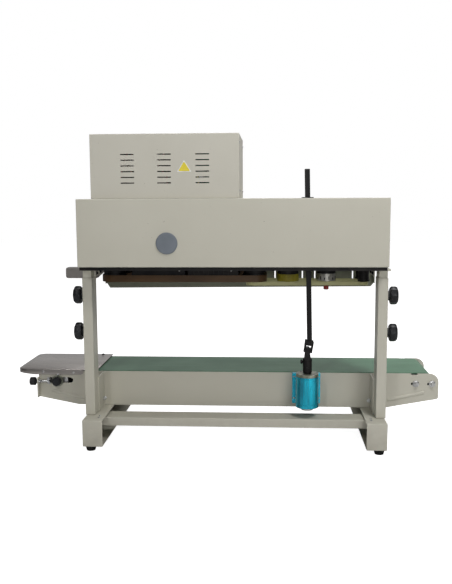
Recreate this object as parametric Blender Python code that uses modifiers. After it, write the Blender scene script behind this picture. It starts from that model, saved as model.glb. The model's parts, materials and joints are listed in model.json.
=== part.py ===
"""Continuous band sealer: a sealing head on two height-adjustable posts over a flat belt conveyor.

Metres, +Z up. X runs along the conveyor (bags travel towards +X), -Y is the rear of the machine.
The origin is the middle of the footprint, on the floor.
"""

import math

import bmesh
import bpy
from mathutils import Vector

GAP = 0.0003  # clearance between neighbouring pieces
SHEET = 0.0015

# Stand
STAND_X = 0.0202  # middle of the stand
FOOT_OUTER, FOOT_WIDTH = 0.2997, 0.040
FOOT_REAR, FOOT_FRONT = -0.1790, 0.1890
FOOT_BOTTOM, FOOT_TOP = 0.0105, 0.0645
PAD_RADIUS, PAD_FLOOR_RADIUS, PAD_INSET = 0.0105, 0.0085, 0.015
PAD_OFFSET = 0.0064  # outwards from the middle of the foot
POST_OUTER, POST_WIDTH = 0.3010, 0.0195
POST_REAR, POST_FRONT = -0.1415, -0.1018
POST_TOP = 0.3443
POST_WALL = 0.0010
BRACKET_SHEET, BRACKET_WELD = 0.0025, 0.0100  # plate from each post to the conveyor
BAR_REAR, BAR_FRONT = -0.1338, -0.0880
BAR_BOTTOM, BAR_TOP = 0.0406, 0.0584
CLAMP_Y, CLAMP_HEIGHTS = -0.1215, {"lower": 0.2340, "upper": 0.3080}

# Conveyor
CONVEYOR_REAR, CONVEYOR_FRONT = -0.0621, 0.0918
CONVEYOR_Y = (CONVEYOR_REAR + CONVEYOR_FRONT) / 2
PANEL_TOP, PANEL_BOTTOM = 0.1375, FOOT_TOP + GAP
PANEL_LEFT, PANEL_RIGHT = -0.3996, 0.4403
PANEL_SHEET = 0.0020
TENSION_Y, TENSION_Z = CONVEYOR_REAR - 0.0075, 0.1163
BELT_TOP, BELT_THICKNESS = 0.1382, 0.0016
ROLLER_RADIUS, ROLLER_Z = 0.0204, 0.1159
AXLE_RADIUS = 0.0050
ENTRY_ROLLER_X, EXIT_ROLLER_X = -0.3591, 0.4103
DRIVE_X, DRIVE_ROLLER_Z = 0.1673, 0.1070
TABLE_TOP, TABLE_LEFT, TABLE_RIGHT = 0.1419, -0.4444, -0.2719
TABLE_REAR, TABLE_FRONT = -0.0650, 0.0955
TABLE_SHEET, TABLE_LIP = 0.0015, 0.0125

# Drive line from the head down to the conveyor gearbox
SHAFT_Y = -0.1120
SHAFT_FOOT = Vector((0.1714, SHAFT_Y, 0.2077))
SHAFT_TOP_Z = 0.5558
SHAFT_SIDE = 0.0100
SHAFT_LEAN = math.radians(-1.22)
LINK_CENTRE = Vector((0.1695, SHAFT_Y, 0.2035))
LINK_LEAN = math.radians(8.5)
GEARBOX_RADIUS, GEARBOX_BOTTOM, GEARBOX_TOP = 0.0229, 0.0794, 0.1423
GEARBOX_INLET = SHAFT_Y + 0.0180  # where the drive roller's axle ends inside the gearbox

# Sealing head
CASE_LEFT, CASE_RIGHT = -0.2779, 0.3156
CASE_REAR, CASE_FRONT = -0.1860, 0.0640
CASE_BOTTOM, CASE_TOP = 0.3692, 0.4993
PLATE_BOTTOM, PLATE_TOP = 0.3625, 0.3685
BOX_LEFT, BOX_RIGHT = -0.2501, 0.0336
BOX_REAR, BOX_FRONT = -0.1778, 0.0105
BOX_TOP = 0.6212
BAG_PLANE = -0.0120
SEAL_BOTTOM, SEAL_TOP, SEAL_THICKNESS = 0.3275, 0.3415, 0.0006
SEAL_WHEEL_RADIUS, SEAL_HUB_RADIUS = 0.0249, 0.0228
SEAL_LEFT_X, SEAL_RIGHT_X = -0.2359, 0.0593
PRESS_X, PRESS_RADIUS = 0.1290, 0.0228
CODING_X, CODING_RADIUS = 0.2087, 0.0200
EXIT_X, EXIT_RADIUS = 0.2858, 0.0110
BLOCK_TOP = 0.3565
SPINDLE_RADIUS, SPINDLE_TOP = 0.0045, 0.3920
GEAR_BOTTOM, GEAR_TOP = 0.3722, 0.3800  # the gears above the base plate
GUIDE_BOTTOM, GUIDE_TOP, GUIDE_THICKNESS = 0.3195, 0.3265, 0.0012
GUIDE_WHEEL_RADIUS, GUIDE_EXIT_RADIUS = 0.0165, 0.0075
GUARD_Y, GUARD_LEFT, GUARD_RIGHT = 0.0585, -0.2735, 0.3190
STATION_Y = {"rear": BAG_PLANE - 0.0005 - 0.0256, "front": BAG_PLANE + 0.0005 + 0.0256}

PRESSURE_X, PRESSURE_Y = 0.2140, 0.0395
PLUG_X, PLUG_Z = -0.1045, 0.4150

# Front and rear of the control box
VENT_COLUMNS, VENT_ROWS = (-0.1788, -0.1086, -0.0359), 6
VENT_TOP, VENT_STEP, VENT_HALF_WIDTH, VENT_HALF_HEIGHT = 0.5828, 0.01075, 0.0130, 0.0011
CONTROLLER_X, CONTROLLER_Z = -0.1740, 0.5680
SPEED_X, SPEED_Z = -0.1060, 0.5680
SWITCH_X, SWITCH_Z = -0.0500, 0.5650

SIDES = {"left": -1, "right": 1}
FOOTPRINT_SHIFT = 0.00205  # along X, so that the middle of the footprint is the origin


# ---------- scene, materials and small modelling helpers ----------

def clear_scene():
    for obj in list(bpy.data.objects):
        bpy.data.objects.remove(obj, do_unlink=True)


def new_collection(name):
    collection = bpy.data.collections.new(name)
    bpy.context.scene.collection.children.link(collection)
    return collection


clear_scene()
PARTS = new_collection("continuous_band_sealer")
TOOLS = new_collection("cutting_tools")


def paint(name, colour, roughness, metallic=0.0):
    material = bpy.data.materials.new(name)
    material.use_nodes = True
    shader = material.node_tree.nodes["Principled BSDF"]
    shader.inputs["Base Color"].default_value = (*colour, 1.0)
    shader.inputs["Roughness"].default_value = roughness
    shader.inputs["Metallic"].default_value = metallic
    return material


BEIGE = ("beige_paint", (0.42, 0.40, 0.33), 0.45)
LIGHT = ("light_paint", (0.50, 0.48, 0.41), 0.45)
DARK_GREEN = ("guard_paint", (0.20, 0.21, 0.17), 0.5)
BLACK_STEEL = ("black_steel", (0.015, 0.015, 0.016), 0.4, 0.6)
BLACK_PLASTIC = ("black_plastic", (0.012, 0.013, 0.015), 0.35)
RUBBER = ("black_rubber", (0.012, 0.012, 0.012), 0.7)
STEEL = ("steel", (0.55, 0.55, 0.55), 0.3, 1.0)
STAINLESS = ("stainless", (0.42, 0.40, 0.38), 0.35, 1.0)
ALUMINIUM = ("aluminium", (0.65, 0.65, 0.66), 0.35, 1.0)
BLUE = ("blue_anodised", (0.01, 0.30, 0.45), 0.3, 0.8)
GREEN_BELT = ("green_belt", (0.12, 0.26, 0.17), 0.45)
SEAL_BELT = ("sealing_belt", (0.09, 0.045, 0.018), 0.4)
GUIDE_BELT = ("guide_belt", (0.45, 0.42, 0.20), 0.5)
YELLOW = ("yellow_rubber", (0.30, 0.26, 0.01), 0.5)
GREY = ("grey_plastic", (0.16, 0.18, 0.21), 0.5)
RED = ("red_plastic", (0.35, 0.02, 0.03), 0.4)


def add_object(name, mesh, look, origin=(0, 0, 0)):
    obj = bpy.data.objects.new(name, mesh)
    obj.location = origin
    PARTS.objects.link(obj)
    if look:
        mesh.materials.append(paint(name + "_" + look[0], *look[1:]))
    return obj


def mesh_from(bm, name):
    bmesh.ops.recalc_face_normals(bm, faces=bm.faces)
    mesh = bpy.data.meshes.new(name)
    bm.to_mesh(mesh)
    bm.free()
    return mesh


def block(name, low, high, look=None, origin=None, bevel=0.0):
    """A box from its low corner to its high corner."""
    low, high = Vector(low), Vector(high)
    middle = (low + high) / 2
    origin = Vector(origin) if origin else middle
    bm = bmesh.new()
    bmesh.ops.create_cube(bm, size=1.0)
    for vertex in bm.verts:
        size = high - low
        vertex.co = Vector(a * b for a, b in zip(vertex.co, size)) + middle - origin
    obj = add_object(name, mesh_from(bm, name), look, origin)
    if bevel:
        add_bevel(obj, bevel)
    return obj


def add_bevel(obj, width, segments=2, angle=50):
    modifier = obj.modifiers.new("edges", "BEVEL")
    modifier.width = width
    modifier.segments = segments
    modifier.limit_method = "ANGLE"
    modifier.angle_limit = math.radians(angle)


def prism(name, outline, axis, start, end, look=None, origin=(0, 0, 0)):
    """A flat outline extruded along one axis; its two coordinates are the other axes in X, Y, Z order."""
    origin = Vector(origin)
    place = {
        "X": lambda a, b: Vector((start, a, b)),
        "Y": lambda a, b: Vector((a, start, b)),
        "Z": lambda a, b: Vector((a, b, start)),
    }[axis]
    way = {"X": Vector((1, 0, 0)), "Y": Vector((0, 1, 0)), "Z": Vector((0, 0, 1))}[axis]
    bm = bmesh.new()
    face = bm.faces.new([bm.verts.new(place(a, b) - origin) for a, b in outline])
    made = bmesh.ops.extrude_face_region(bm, geom=[face])["geom"]
    top = [item for item in made if isinstance(item, bmesh.types.BMVert)]
    bmesh.ops.translate(bm, verts=top, vec=way * (end - start))
    return add_object(name, mesh_from(bm, name), look, origin)


def turned(name, profile, look=None, origin=(0, 0, 0), axis="Z", steps=32):
    """A lathed solid: profile is (radius, height) from top to bottom along its axis."""
    mesh = bpy.data.meshes.new(name)
    points = [(radius, 0.0, height) for radius, height in profile]
    mesh.from_pydata(points, [(i, i + 1) for i in range(len(points) - 1)], [])
    obj = add_object(name, mesh, look, origin)
    screw = obj.modifiers.new("turn", "SCREW")
    screw.axis = "Z"
    screw.angle = math.tau
    screw.steps = screw.render_steps = steps
    screw.use_merge_vertices = True
    screw.merge_threshold = 1e-5
    if axis == "X":
        obj.rotation_euler = (0, math.pi / 2, 0)
    elif axis == "Y":
        obj.rotation_euler = (-math.pi / 2, 0, 0)
    return obj


def rod(name, radius, start, end, look=None, origin=(0, 0, 0), axis="Z", steps=24):
    """A plain cylinder from start to end along its axis, measured from its origin."""
    return turned(name, [(0, end), (radius, end), (radius, start), (0, start)], look, origin, axis, steps)


def rounded(outline, radii, steps=4):
    """The outline with each corner rounded; radii is one number or one for each corner."""
    count = len(outline)
    radii = radii if isinstance(radii, (list, tuple)) else [radii] * count
    points = []
    for i, corner in enumerate(outline):
        here = Vector(corner)
        if radii[i] <= 0:
            points.append(tuple(here))
            continue
        to_last = (Vector(outline[i - 1]) - here).normalized()
        to_next = (Vector(outline[(i + 1) % count]) - here).normalized()
        half = to_last.angle(to_next) / 2
        reach = radii[i] / math.tan(half)
        centre = here + (to_last + to_next).normalized() * radii[i] / math.sin(half)
        first = (here + to_last * reach - centre).normalized()
        last = (here + to_next * reach - centre).normalized()
        for k in range(steps + 1):
            points.append(tuple(centre + first.slerp(last, k / steps) * radii[i]))
    return points


def rectangle(a0, b0, a1, b1):
    return [(a0, b0), (a1, b0), (a1, b1), (a0, b1)]


def boolean(target, tool, operation):
    """Cuts the tool from the target, or joins it to it, and puts the tool out of sight."""
    modifier = target.modifiers.new(operation.lower(), "BOOLEAN")
    modifier.operation = operation
    modifier.solver = "EXACT"
    modifier.object = tool
    for collection in tool.users_collection:
        collection.objects.unlink(tool)
    TOOLS.objects.link(tool)
    tool.hide_render = True
    tool.display_type = "WIRE"


def cut(target, *tools):
    for tool in tools:
        boolean(target, tool, "DIFFERENCE")


def join(target, *tools):
    for tool in tools:
        boolean(target, tool, "UNION")


def belt_path(circles, offset, steps=16):
    """The closed line round circles (x, y, radius, turn), turn +1 when the belt wraps it anticlockwise."""
    signed = [(Vector((x, y)), (radius + turn * offset) * turn) for x, y, radius, turn in circles]
    normals = []
    for (c0, r0), (c1, r1) in zip(signed, signed[1:] + signed[:1]):
        way = c1 - c0
        angle = math.atan2(way.y, way.x) + math.acos((r1 - r0) / way.length)
        normals.append(Vector((math.cos(angle), math.sin(angle))))
    points = []
    for i, (centre, radius) in enumerate(signed):
        came, leaves = normals[i - 1], normals[i]
        first = math.atan2(-came.y, -came.x)
        sweep = (math.atan2(-leaves.y, -leaves.x) - first) % math.tau
        if radius < 0:
            sweep -= math.tau if sweep > 1e-9 else 0.0
        count = max(1, round(abs(sweep) / math.pi * steps))
        for k in range(count + 1):
            angle = first + sweep * k / count
            points.append((centre.x + radius * math.cos(angle), centre.y + radius * math.sin(angle)))
    return points


def belt(name, circles, thickness, axis, start, end, look):
    """A closed flat belt that runs just clear of its wheels."""
    inside = belt_path(circles, GAP)
    outside = belt_path(circles, GAP + thickness)
    loop = prism(name, outside, axis, start, end, look)
    margin = 0.01
    cut(loop, prism(name + "_inside", inside, axis, start - margin, end + margin))
    return loop


# ---------- stand ----------

def make_foot(side):
    """A bent sheet box, open on its inner side."""
    sign = SIDES[side]
    outer = STAND_X + sign * FOOT_OUTER
    inner = outer - sign * FOOT_WIDTH
    low, high = min(outer, inner), max(outer, inner)
    foot = block(f"foot_{side}", (low, FOOT_REAR, FOOT_BOTTOM), (high, FOOT_FRONT, FOOT_TOP), BEIGE)
    add_bevel(foot, 0.0015)
    hollow_low = low + SHEET if sign < 0 else low - 0.01
    hollow_high = high + 0.01 if sign < 0 else high - SHEET
    cut(foot, block(f"foot_{side}_hollow",
                    (hollow_low, FOOT_REAR + SHEET, FOOT_BOTTOM + SHEET),
                    (hollow_high, FOOT_FRONT - SHEET, FOOT_TOP - SHEET)))
    middle = (low + high) / 2 + sign * PAD_OFFSET
    for end, y in (("rear", FOOT_REAR + PAD_INSET), ("front", FOOT_FRONT - PAD_INSET)):
        pad_top = FOOT_BOTTOM - GAP
        turned(f"pad_{side}_{end}",
               [(0, pad_top), (PAD_RADIUS, pad_top), (PAD_RADIUS, 0.0065), (PAD_FLOOR_RADIUS, 0), (0, 0)],
               RUBBER, (middle, y, 0), steps=24)


def make_crossbar():
    """A bent channel, open below, that reaches into both feet."""
    left = STAND_X - FOOT_OUTER + SHEET + GAP
    right = STAND_X + FOOT_OUTER - SHEET - GAP
    bar = block("crossbar", (left, BAR_REAR, BAR_BOTTOM), (right, BAR_FRONT, BAR_TOP), BEIGE)
    add_bevel(bar, 0.0012)
    cut(bar, block("crossbar_hollow", (left - 0.01, BAR_REAR + SHEET, BAR_BOTTOM - 0.01),
                   (right + 0.01, BAR_FRONT - SHEET, BAR_TOP - SHEET)))


def make_post(side):
    """An outer post tube with a welded bracket plate that holds the conveyor."""
    sign = SIDES[side]
    outer = STAND_X + sign * POST_OUTER
    inner = outer - sign * POST_WIDTH
    low, high = min(outer, inner), max(outer, inner)
    bottom = FOOT_TOP + GAP
    post = block(f"post_{side}", (low, POST_REAR, bottom), (high, POST_FRONT, POST_TOP), BEIGE)
    add_bevel(post, 0.0012)
    weld, plate = inner + sign * POST_WALL / 2, inner - sign * BRACKET_SHEET
    join(post, block(f"post_{side}_bracket", (min(weld, plate), POST_FRONT - BRACKET_WELD, bottom + GAP),
                     (max(weld, plate), CONVEYOR_REAR - GAP, PANEL_TOP - 0.0010)))
    cut(post, block(f"post_{side}_bore", (low + POST_WALL, POST_REAR + POST_WALL, bottom - 0.01),
                    (high - POST_WALL, POST_FRONT - POST_WALL, POST_TOP + 0.01)))
    for height in CLAMP_HEIGHTS.values():
        cut(post, rod(f"post_{side}_hole_{height}", 0.0033, -0.005, 0.005,
                      origin=(outer, CLAMP_Y, height), axis="X"))


def lobed_ring(radius, depth, lobes=8, per_lobe=4):
    points = []
    for i in range(lobes * per_lobe):
        angle = math.tau * i / (lobes * per_lobe)
        points.append((angle, radius - depth * (0.5 - 0.5 * math.cos(lobes * angle))))
    return points


def knob_mesh(name, sections):
    """A solid along +X; each section is (x, radius, flute depth)."""
    bm = bmesh.new()
    rings = []
    for x, radius, depth in sections:
        rings.append([bm.verts.new((x, r * math.cos(a), r * math.sin(a)))
                      for a, r in lobed_ring(radius, depth)])
    for first, second in zip(rings, rings[1:]):
        for i in range(len(first)):
            j = (i + 1) % len(first)
            bm.faces.new((first[i], first[j], second[j], second[i]))
    bm.faces.new(rings[0])
    bm.faces.new(rings[-1])
    return mesh_from(bm, name)


def make_clamp_knob(side, level):
    """A fluted knob on a threaded stud that presses on the inner post."""
    sign = SIDES[side]
    face = STAND_X + sign * POST_OUTER
    sections = [
        (-POST_WALL, 0.0028, 0.0), (GAP, 0.0028, 0.0), (GAP, 0.0093, 0.0), (0.0060, 0.0098, 0.0),
        (0.0060, 0.0160, 0.0016), (0.0085, 0.0180, 0.0022), (0.0165, 0.0180, 0.0022),
        (0.0200, 0.0166, 0.0018), (0.0215, 0.0125, 0.0006),
    ]
    name = f"clamp_knob_{side}_{level}"
    knob = add_object(name, knob_mesh(name, sections), BLACK_PLASTIC, (face, CLAMP_Y, CLAMP_HEIGHTS[level]))
    if sign < 0:
        knob.rotation_euler = (0, 0, math.pi)


# ---------- conveyor ----------

def panel_outline():
    """Side panel seen from the rear, from its top left corner anticlockwise."""
    corners = [(PANEL_LEFT, PANEL_TOP), (PANEL_LEFT, 0.0816), (-0.3138, PANEL_BOTTOM), (0.3321, PANEL_BOTTOM),
               (PANEL_RIGHT - 0.0003, 0.0845), (PANEL_RIGHT, PANEL_TOP)]
    return rounded(corners, [0, 0, 0, 0, 0.004, 0.018], steps=6)


def rib_outline(start, end, width):
    """A slot shape with round ends between two points."""
    start, end = Vector(start), Vector(end)
    heading = math.atan2((end - start).y, (end - start).x)
    points = []
    for centre, first in ((end, heading - math.pi / 2), (start, heading + math.pi / 2)):
        for k in range(7):
            angle = first + math.pi * k / 6
            points.append((centre.x + width / 2 * math.cos(angle), centre.y + width / 2 * math.sin(angle)))
    return points


def make_side_panel(name, face, inward):
    """A side panel in the plane y = face with stiffening ribs pressed out and a slot for the entry axle."""
    start, end = sorted((face, face + inward * PANEL_SHEET))
    panel = prism(name, panel_outline(), "Y", start, end, BEIGE)
    outward = face - inward * 0.0008
    rib_start, rib_end = sorted((outward, face + inward * 0.0005))
    ribs = {"entry": ((-0.3700, 0.0943), (-0.3046, 0.0799)), "exit": ((0.3393, 0.0815), (0.4088, 0.0973))}
    for which, (first, last) in ribs.items():
        join(panel, prism(f"{name}_rib_{which}", rib_outline(first, last, 0.0063), "Y", rib_start, rib_end))
    slot = rib_outline((-0.3741, 0.1173), (-0.3317, 0.1173), 0.0118)
    cut(panel, prism(f"{name}_slot", slot, "Y", start - 0.01, end + 0.01))
    middle = (start + end) / 2
    cut(panel, rod(f"{name}_drive_hole", 0.0080, -0.01, 0.01, origin=(DRIVE_X, middle, DRIVE_ROLLER_Z),
                   axis="Y"))
    notch = rectangle(0.3838, PANEL_TOP - 0.0030, 0.3970, PANEL_TOP + 0.01)
    cut(panel, prism(f"{name}_notch", notch, "Y", start - 0.01, end + 0.01))
    return panel


def make_conveyor_frame():
    rear = make_side_panel("conveyor_panel_rear", CONVEYOR_REAR, 1)
    make_side_panel("conveyor_panel_front", CONVEYOR_FRONT, -1)
    flange = block("tension_flange", (PANEL_LEFT, CONVEYOR_REAR - 0.0140, 0.0825),
                   (PANEL_LEFT + PANEL_SHEET, CONVEYOR_REAR + 0.0010, 0.1249))
    join(rear, flange)
    cut(rear, rod("tension_hole", 0.0032, -0.01, 0.01, origin=(PANEL_LEFT, TENSION_Y, TENSION_Z), axis="X"))
    inner_rear = CONVEYOR_REAR + PANEL_SHEET + GAP
    inner_front = CONVEYOR_FRONT - PANEL_SHEET - GAP
    left, right = -0.3291, 0.3761
    bed_top = BELT_TOP - BELT_THICKNESS - GAP
    deck = block("conveyor_bed", (left, inner_rear, bed_top - 0.002), (right, inner_front, bed_top), LIGHT)
    lip_depth = 0.010
    for side, (low, high) in {"rear": (inner_rear, inner_rear + 0.002),
                              "front": (inner_front - 0.002, inner_front)}.items():
        join(deck, block(f"bed_lip_{side}", (left, low, bed_top - lip_depth), (right, high, bed_top - 0.001)))


def make_conveyor_belt():
    """The wide belt round the entry, drive and exit rollers."""
    rollers = [(ENTRY_ROLLER_X, ROLLER_Z), (DRIVE_X, DRIVE_ROLLER_Z), (EXIT_ROLLER_X, ROLLER_Z)]
    margin = 0.0055
    belt("conveyor_belt", [(x, z, ROLLER_RADIUS, 1) for x, z in rollers], BELT_THICKNESS, "Y",
         CONVEYOR_REAR + margin, CONVEYOR_FRONT - margin, GREEN_BELT)


def make_rollers():
    half = (CONVEYOR_FRONT - CONVEYOR_REAR) / 2
    body = half - 0.0060
    axle = AXLE_RADIUS
    for name, x, z in (("entry_roller", ENTRY_ROLLER_X, ROLLER_Z), ("exit_roller", EXIT_ROLLER_X, ROLLER_Z)):
        end = half - PANEL_SHEET - 0.0010
        turned(name, [(0, end), (axle, end), (axle, body), (ROLLER_RADIUS, body), (ROLLER_RADIUS, -body),
                      (axle, -body), (axle, -end), (0, -end)], STEEL, (x, CONVEYOR_Y, z), "Y")
    into_gearbox = CONVEYOR_Y - GEARBOX_INLET
    journal = 0.0070
    profile = [(0, body + 0.002), (axle, body + 0.002), (axle, body), (ROLLER_RADIUS, body),
               (ROLLER_RADIUS, -body), (journal, -body), (journal, -into_gearbox), (0, -into_gearbox)]
    turned("drive_roller", profile, STEEL, (DRIVE_X, CONVEYOR_Y, DRIVE_ROLLER_Z), "Y")


def make_entry_table():
    """A stainless shelf with rolled-down edges at the entry end."""
    plan = rectangle(TABLE_LEFT, TABLE_REAR, TABLE_RIGHT, TABLE_FRONT)
    plan = rounded(plan, [0.018, 0, 0, 0.018], steps=6)
    table = prism("entry_table", plan, "Z", TABLE_TOP - TABLE_LIP, TABLE_TOP, STAINLESS)
    add_bevel(table, 0.0014, 2, 60)
    inset = TABLE_SHEET
    under = rectangle(TABLE_LEFT + inset, TABLE_REAR + inset, TABLE_RIGHT + 0.01, TABLE_FRONT - inset)
    under = rounded(under, [0.017, 0, 0, 0.017], steps=6)
    cut(table, prism("table_under", under, "Z", TABLE_TOP - 0.03, TABLE_TOP - inset))
    end, far_below = TABLE_RIGHT + 0.01, TABLE_TOP - 0.05
    tongue = [(end, far_below), (end, TABLE_TOP - 0.0022), (-0.3046, TABLE_TOP - 0.0022),
              (-0.3020, TABLE_TOP - 0.0050), (-0.3041, TABLE_TOP - 0.0095), (-0.3097, TABLE_TOP - 0.0127),
              (-0.3097, far_below)]
    for side, y in (("rear", TABLE_REAR), ("front", TABLE_FRONT)):
        cut(table, prism(f"table_tongue_{side}", tongue, "Y", y - 0.01, y + 0.01))
    end = TABLE_LEFT - 0.01
    taper = [(end, far_below), (end, TABLE_TOP - 0.0090), (-0.4344, TABLE_TOP - 0.0090),
             (-0.4037, TABLE_TOP - 0.0130), (-0.4037, far_below)]
    cut(table, prism("table_lip_taper", taper, "Y", TABLE_REAR - 0.01, TABLE_FRONT + 0.01))


def make_entry_adjusters():
    """The belt tension screw and the knob that locks the entry roller's axle in its slot."""
    sections = [(-0.0165, 0.0070, 0.0), (-0.0155, 0.0088, 0.0010), (-0.0050, 0.0090, 0.0012),
                (-0.0040, 0.0050, 0.0), (-0.0003, 0.0050, 0.0), (-0.0003, 0.0029, 0.0), (0.0285, 0.0029, 0.0)]
    screw = knob_mesh("tension_screw", sections)
    add_object("tension_screw", screw, BLACK_STEEL, (PANEL_LEFT, TENSION_Y, TENSION_Z))
    sections = [(-0.0024, 0.0040, 0.0), (0.0025, 0.0040, 0.0), (0.0025, 0.0085, 0.0),
                (0.0040, 0.0098, 0.0006), (0.0120, 0.0100, 0.0008), (0.0145, 0.0085, 0.0005)]
    knob = add_object("axle_lock_knob", knob_mesh("axle_lock_knob", sections), BLACK_PLASTIC,
                      (ENTRY_ROLLER_X, CONVEYOR_REAR, ROLLER_Z))
    knob.rotation_euler = (0, 0, -math.pi / 2)


# ---------- drive line ----------

def make_gearbox():
    """A blue gearbox: upright cylinder, neck and mounting plate on the conveyor panel."""
    back = CONVEYOR_REAR - GAP
    boss_radius, boss_bottom = 0.0118, GEARBOX_BOTTOM - 0.0055
    profile = [(0, GEARBOX_TOP), (GEARBOX_RADIUS, GEARBOX_TOP), (GEARBOX_RADIUS, GEARBOX_BOTTOM),
               (boss_radius, GEARBOX_BOTTOM), (boss_radius, boss_bottom), (0, boss_bottom)]
    box = turned("gearbox_body", profile, BLUE, (DRIVE_X, SHAFT_Y, 0), steps=40)
    plate, neck = 0.0288, 0.0174  # half widths
    join(box, block("gearbox_plate", (DRIVE_X - plate, back - 0.0090, 0.0748),
                    (DRIVE_X + plate, back, 0.1384)),
         block("gearbox_neck", (DRIVE_X - neck, SHAFT_Y, 0.0861), (DRIVE_X + neck, back - 0.0040, 0.1300)))
    half_bore = 0.030
    cut(box, rod("gearbox_bore", 0.0073, -half_bore, half_bore,
                 origin=(DRIVE_X, GEARBOX_INLET - GAP + half_bore, DRIVE_ROLLER_Z), axis="Y"))
    bottom = GEARBOX_TOP + GAP
    cap = rod("gearbox_cover", 0.0226, bottom, GEARBOX_TOP + 0.0061, STEEL, (DRIVE_X, SHAFT_Y, 0), steps=36)
    cut(cap, rod("gearbox_cover_bore", 0.0095, bottom - 0.01, bottom + 0.02, origin=(DRIVE_X, SHAFT_Y, 0)))


def make_coupling():
    """The lower coupling with the fork that turns the joint link."""
    profile = [(0, 0.1791), (0.0084, 0.1791), (0.0092, 0.1781), (0.0092, 0.1507), (0.0065, 0.1507),
               (0.0065, GEARBOX_TOP + 0.0010), (0, GEARBOX_TOP + 0.0010)]
    coupling = turned("drive_coupling", profile, BLACK_STEEL, (DRIVE_X, SHAFT_Y, 0), steps=24)
    ear = [(-0.0062, 0.1770), (0.0062, 0.1770), (0.0052, 0.1893), (0.0052, 0.1980), (0.0030, 0.2016),
           (-0.0030, 0.2016), (-0.0052, 0.1980), (-0.0052, 0.1893)]
    for name, sign in (("rear", -1), ("front", 1)):
        start, end = sorted((SHAFT_Y + sign * 0.0078, SHAFT_Y + sign * 0.0108))
        outline = [(DRIVE_X + x, z) for x, z in ear]
        join(coupling, prism(f"coupling_ear_{name}", outline, "Y", start, end))
    join(coupling, block("coupling_fork_base", (DRIVE_X - 0.0062, SHAFT_Y - 0.0108, 0.1765),
                         (DRIVE_X + 0.0062, SHAFT_Y + 0.0108, 0.1837), bevel=0.001))


def make_joint_link():
    """The middle piece between the two universal joints, on its own leaning axis."""
    half_x = 0.0086
    link = block("joint_link", (-half_x, -0.0060, -0.0120), (half_x, 0.0060, 0.0040), BLACK_STEEL, (0, 0, 0))
    link.location = LINK_CENTRE
    link.rotation_euler = (0, LINK_LEAN, 0)
    upper = block("joint_link_upper", (-half_x, -0.0092, 0.0000), (half_x, 0.0092, 0.0120))
    slot = block("joint_link_slot", (-half_x - 0.01, -0.0067, 0.0028), (half_x + 0.01, 0.0067, 0.0200))
    window = block("joint_link_window", (-0.0053, -0.02, -0.0030), (0.0053, 0.02, 0.0026))
    for tool in (upper, slot, window):
        tool.matrix_world = link_matrix() @ tool.matrix_world
    join(link, upper)
    cut(link, slot, window)


def link_matrix():
    bpy.context.view_layer.update()
    return bpy.data.objects["joint_link"].matrix_world.copy()


def make_drive_shaft():
    """The square shaft that slides through the head and turns the conveyor."""
    half = SHAFT_SIDE / 2
    length = (SHAFT_TOP_Z - SHAFT_FOOT.z) / math.cos(SHAFT_LEAN)
    shaft = block("drive_shaft", (-half, -half, 0), (half, half, length), BLACK_STEEL, (0, 0, 0))
    add_bevel(shaft, 0.0006, 1)
    shaft.location = SHAFT_FOOT
    shaft.rotation_euler = (0, SHAFT_LEAN, 0)


def shaft_x(z):
    """Where the drive shaft's axis crosses a height."""
    return SHAFT_FOOT.x + math.tan(SHAFT_LEAN) * (z - SHAFT_FOOT.z)


# ---------- sealing head: frame and covers ----------

def make_inner_post(side):
    """A post that slides in the outer post, with the angle bracket that holds the head."""
    sign = SIDES[side]
    clearance = POST_WALL + GAP
    outer = STAND_X + sign * (POST_OUTER - clearance)
    inner = STAND_X + sign * (POST_OUTER - POST_WIDTH + clearance)
    low, high = min(outer, inner), max(outer, inner)
    post = block(f"inner_post_{side}", (low, POST_REAR + clearance, 0.1850),
                 (high, POST_FRONT - clearance, 0.3595), LIGHT)
    add_bevel(post, 0.0008, 1)
    top = PLATE_BOTTOM - GAP
    reach = STAND_X + sign * (POST_OUTER - 0.0290)
    edge = STAND_X + sign * (POST_OUTER + 0.0030)
    low, high = min(edge, reach), max(edge, reach)
    join(post, block(f"bracket_{side}_top", (low, -0.1500, 0.3590), (high, -0.0950, top)))
    flange = sorted((reach, reach + sign * 0.0016))
    join(post, block(f"bracket_{side}_flange", (flange[0], -0.1500, 0.3475), (flange[1], -0.0950, 0.3600)))


def wheel_stations():
    """Every wheel under the head: (name, side, x, y)."""
    stations = []
    for side in ("rear", "front"):
        y = STATION_Y[side]
        towards = 1 if side == "rear" else -1
        stations.append(("seal_wheel_entry_" + side, side, SEAL_LEFT_X, y))
        stations.append(("seal_wheel_exit_" + side, side, SEAL_RIGHT_X, y))
        plane = BAG_PLANE - towards * 0.0005
        stations.append(("press_wheel_" + side, side, PRESS_X, plane - towards * PRESS_RADIUS))
        stations.append(("coding_wheel_" + side, side, CODING_X, plane - towards * CODING_RADIUS))
        stations.append(("exit_pulley_" + side, side, EXIT_X, y))
    return stations


def make_base_plate():
    """The thick plate that carries every bearing of the head."""
    edge = 0.0030
    plate = block("base_plate", (CASE_LEFT + edge, CASE_REAR + edge, PLATE_BOTTOM),
                  (CASE_RIGHT - edge, CASE_FRONT - edge, PLATE_TOP), BLACK_STEEL)
    for name, _, x, y in wheel_stations():
        cut(plate, rod(f"plate_hole_{name}", 0.0065, 0.35, 0.38, origin=(x, y, 0), steps=16))
    cut(plate, rod("plate_hole_shaft", 0.0110, 0.35, 0.38, origin=(shaft_x(PLATE_TOP), SHAFT_Y, 0)))
    cut(plate, rod("plate_hole_pressure", 0.0045, 0.35, 0.38, origin=(PRESSURE_X, PRESSURE_Y, 0)))


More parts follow.
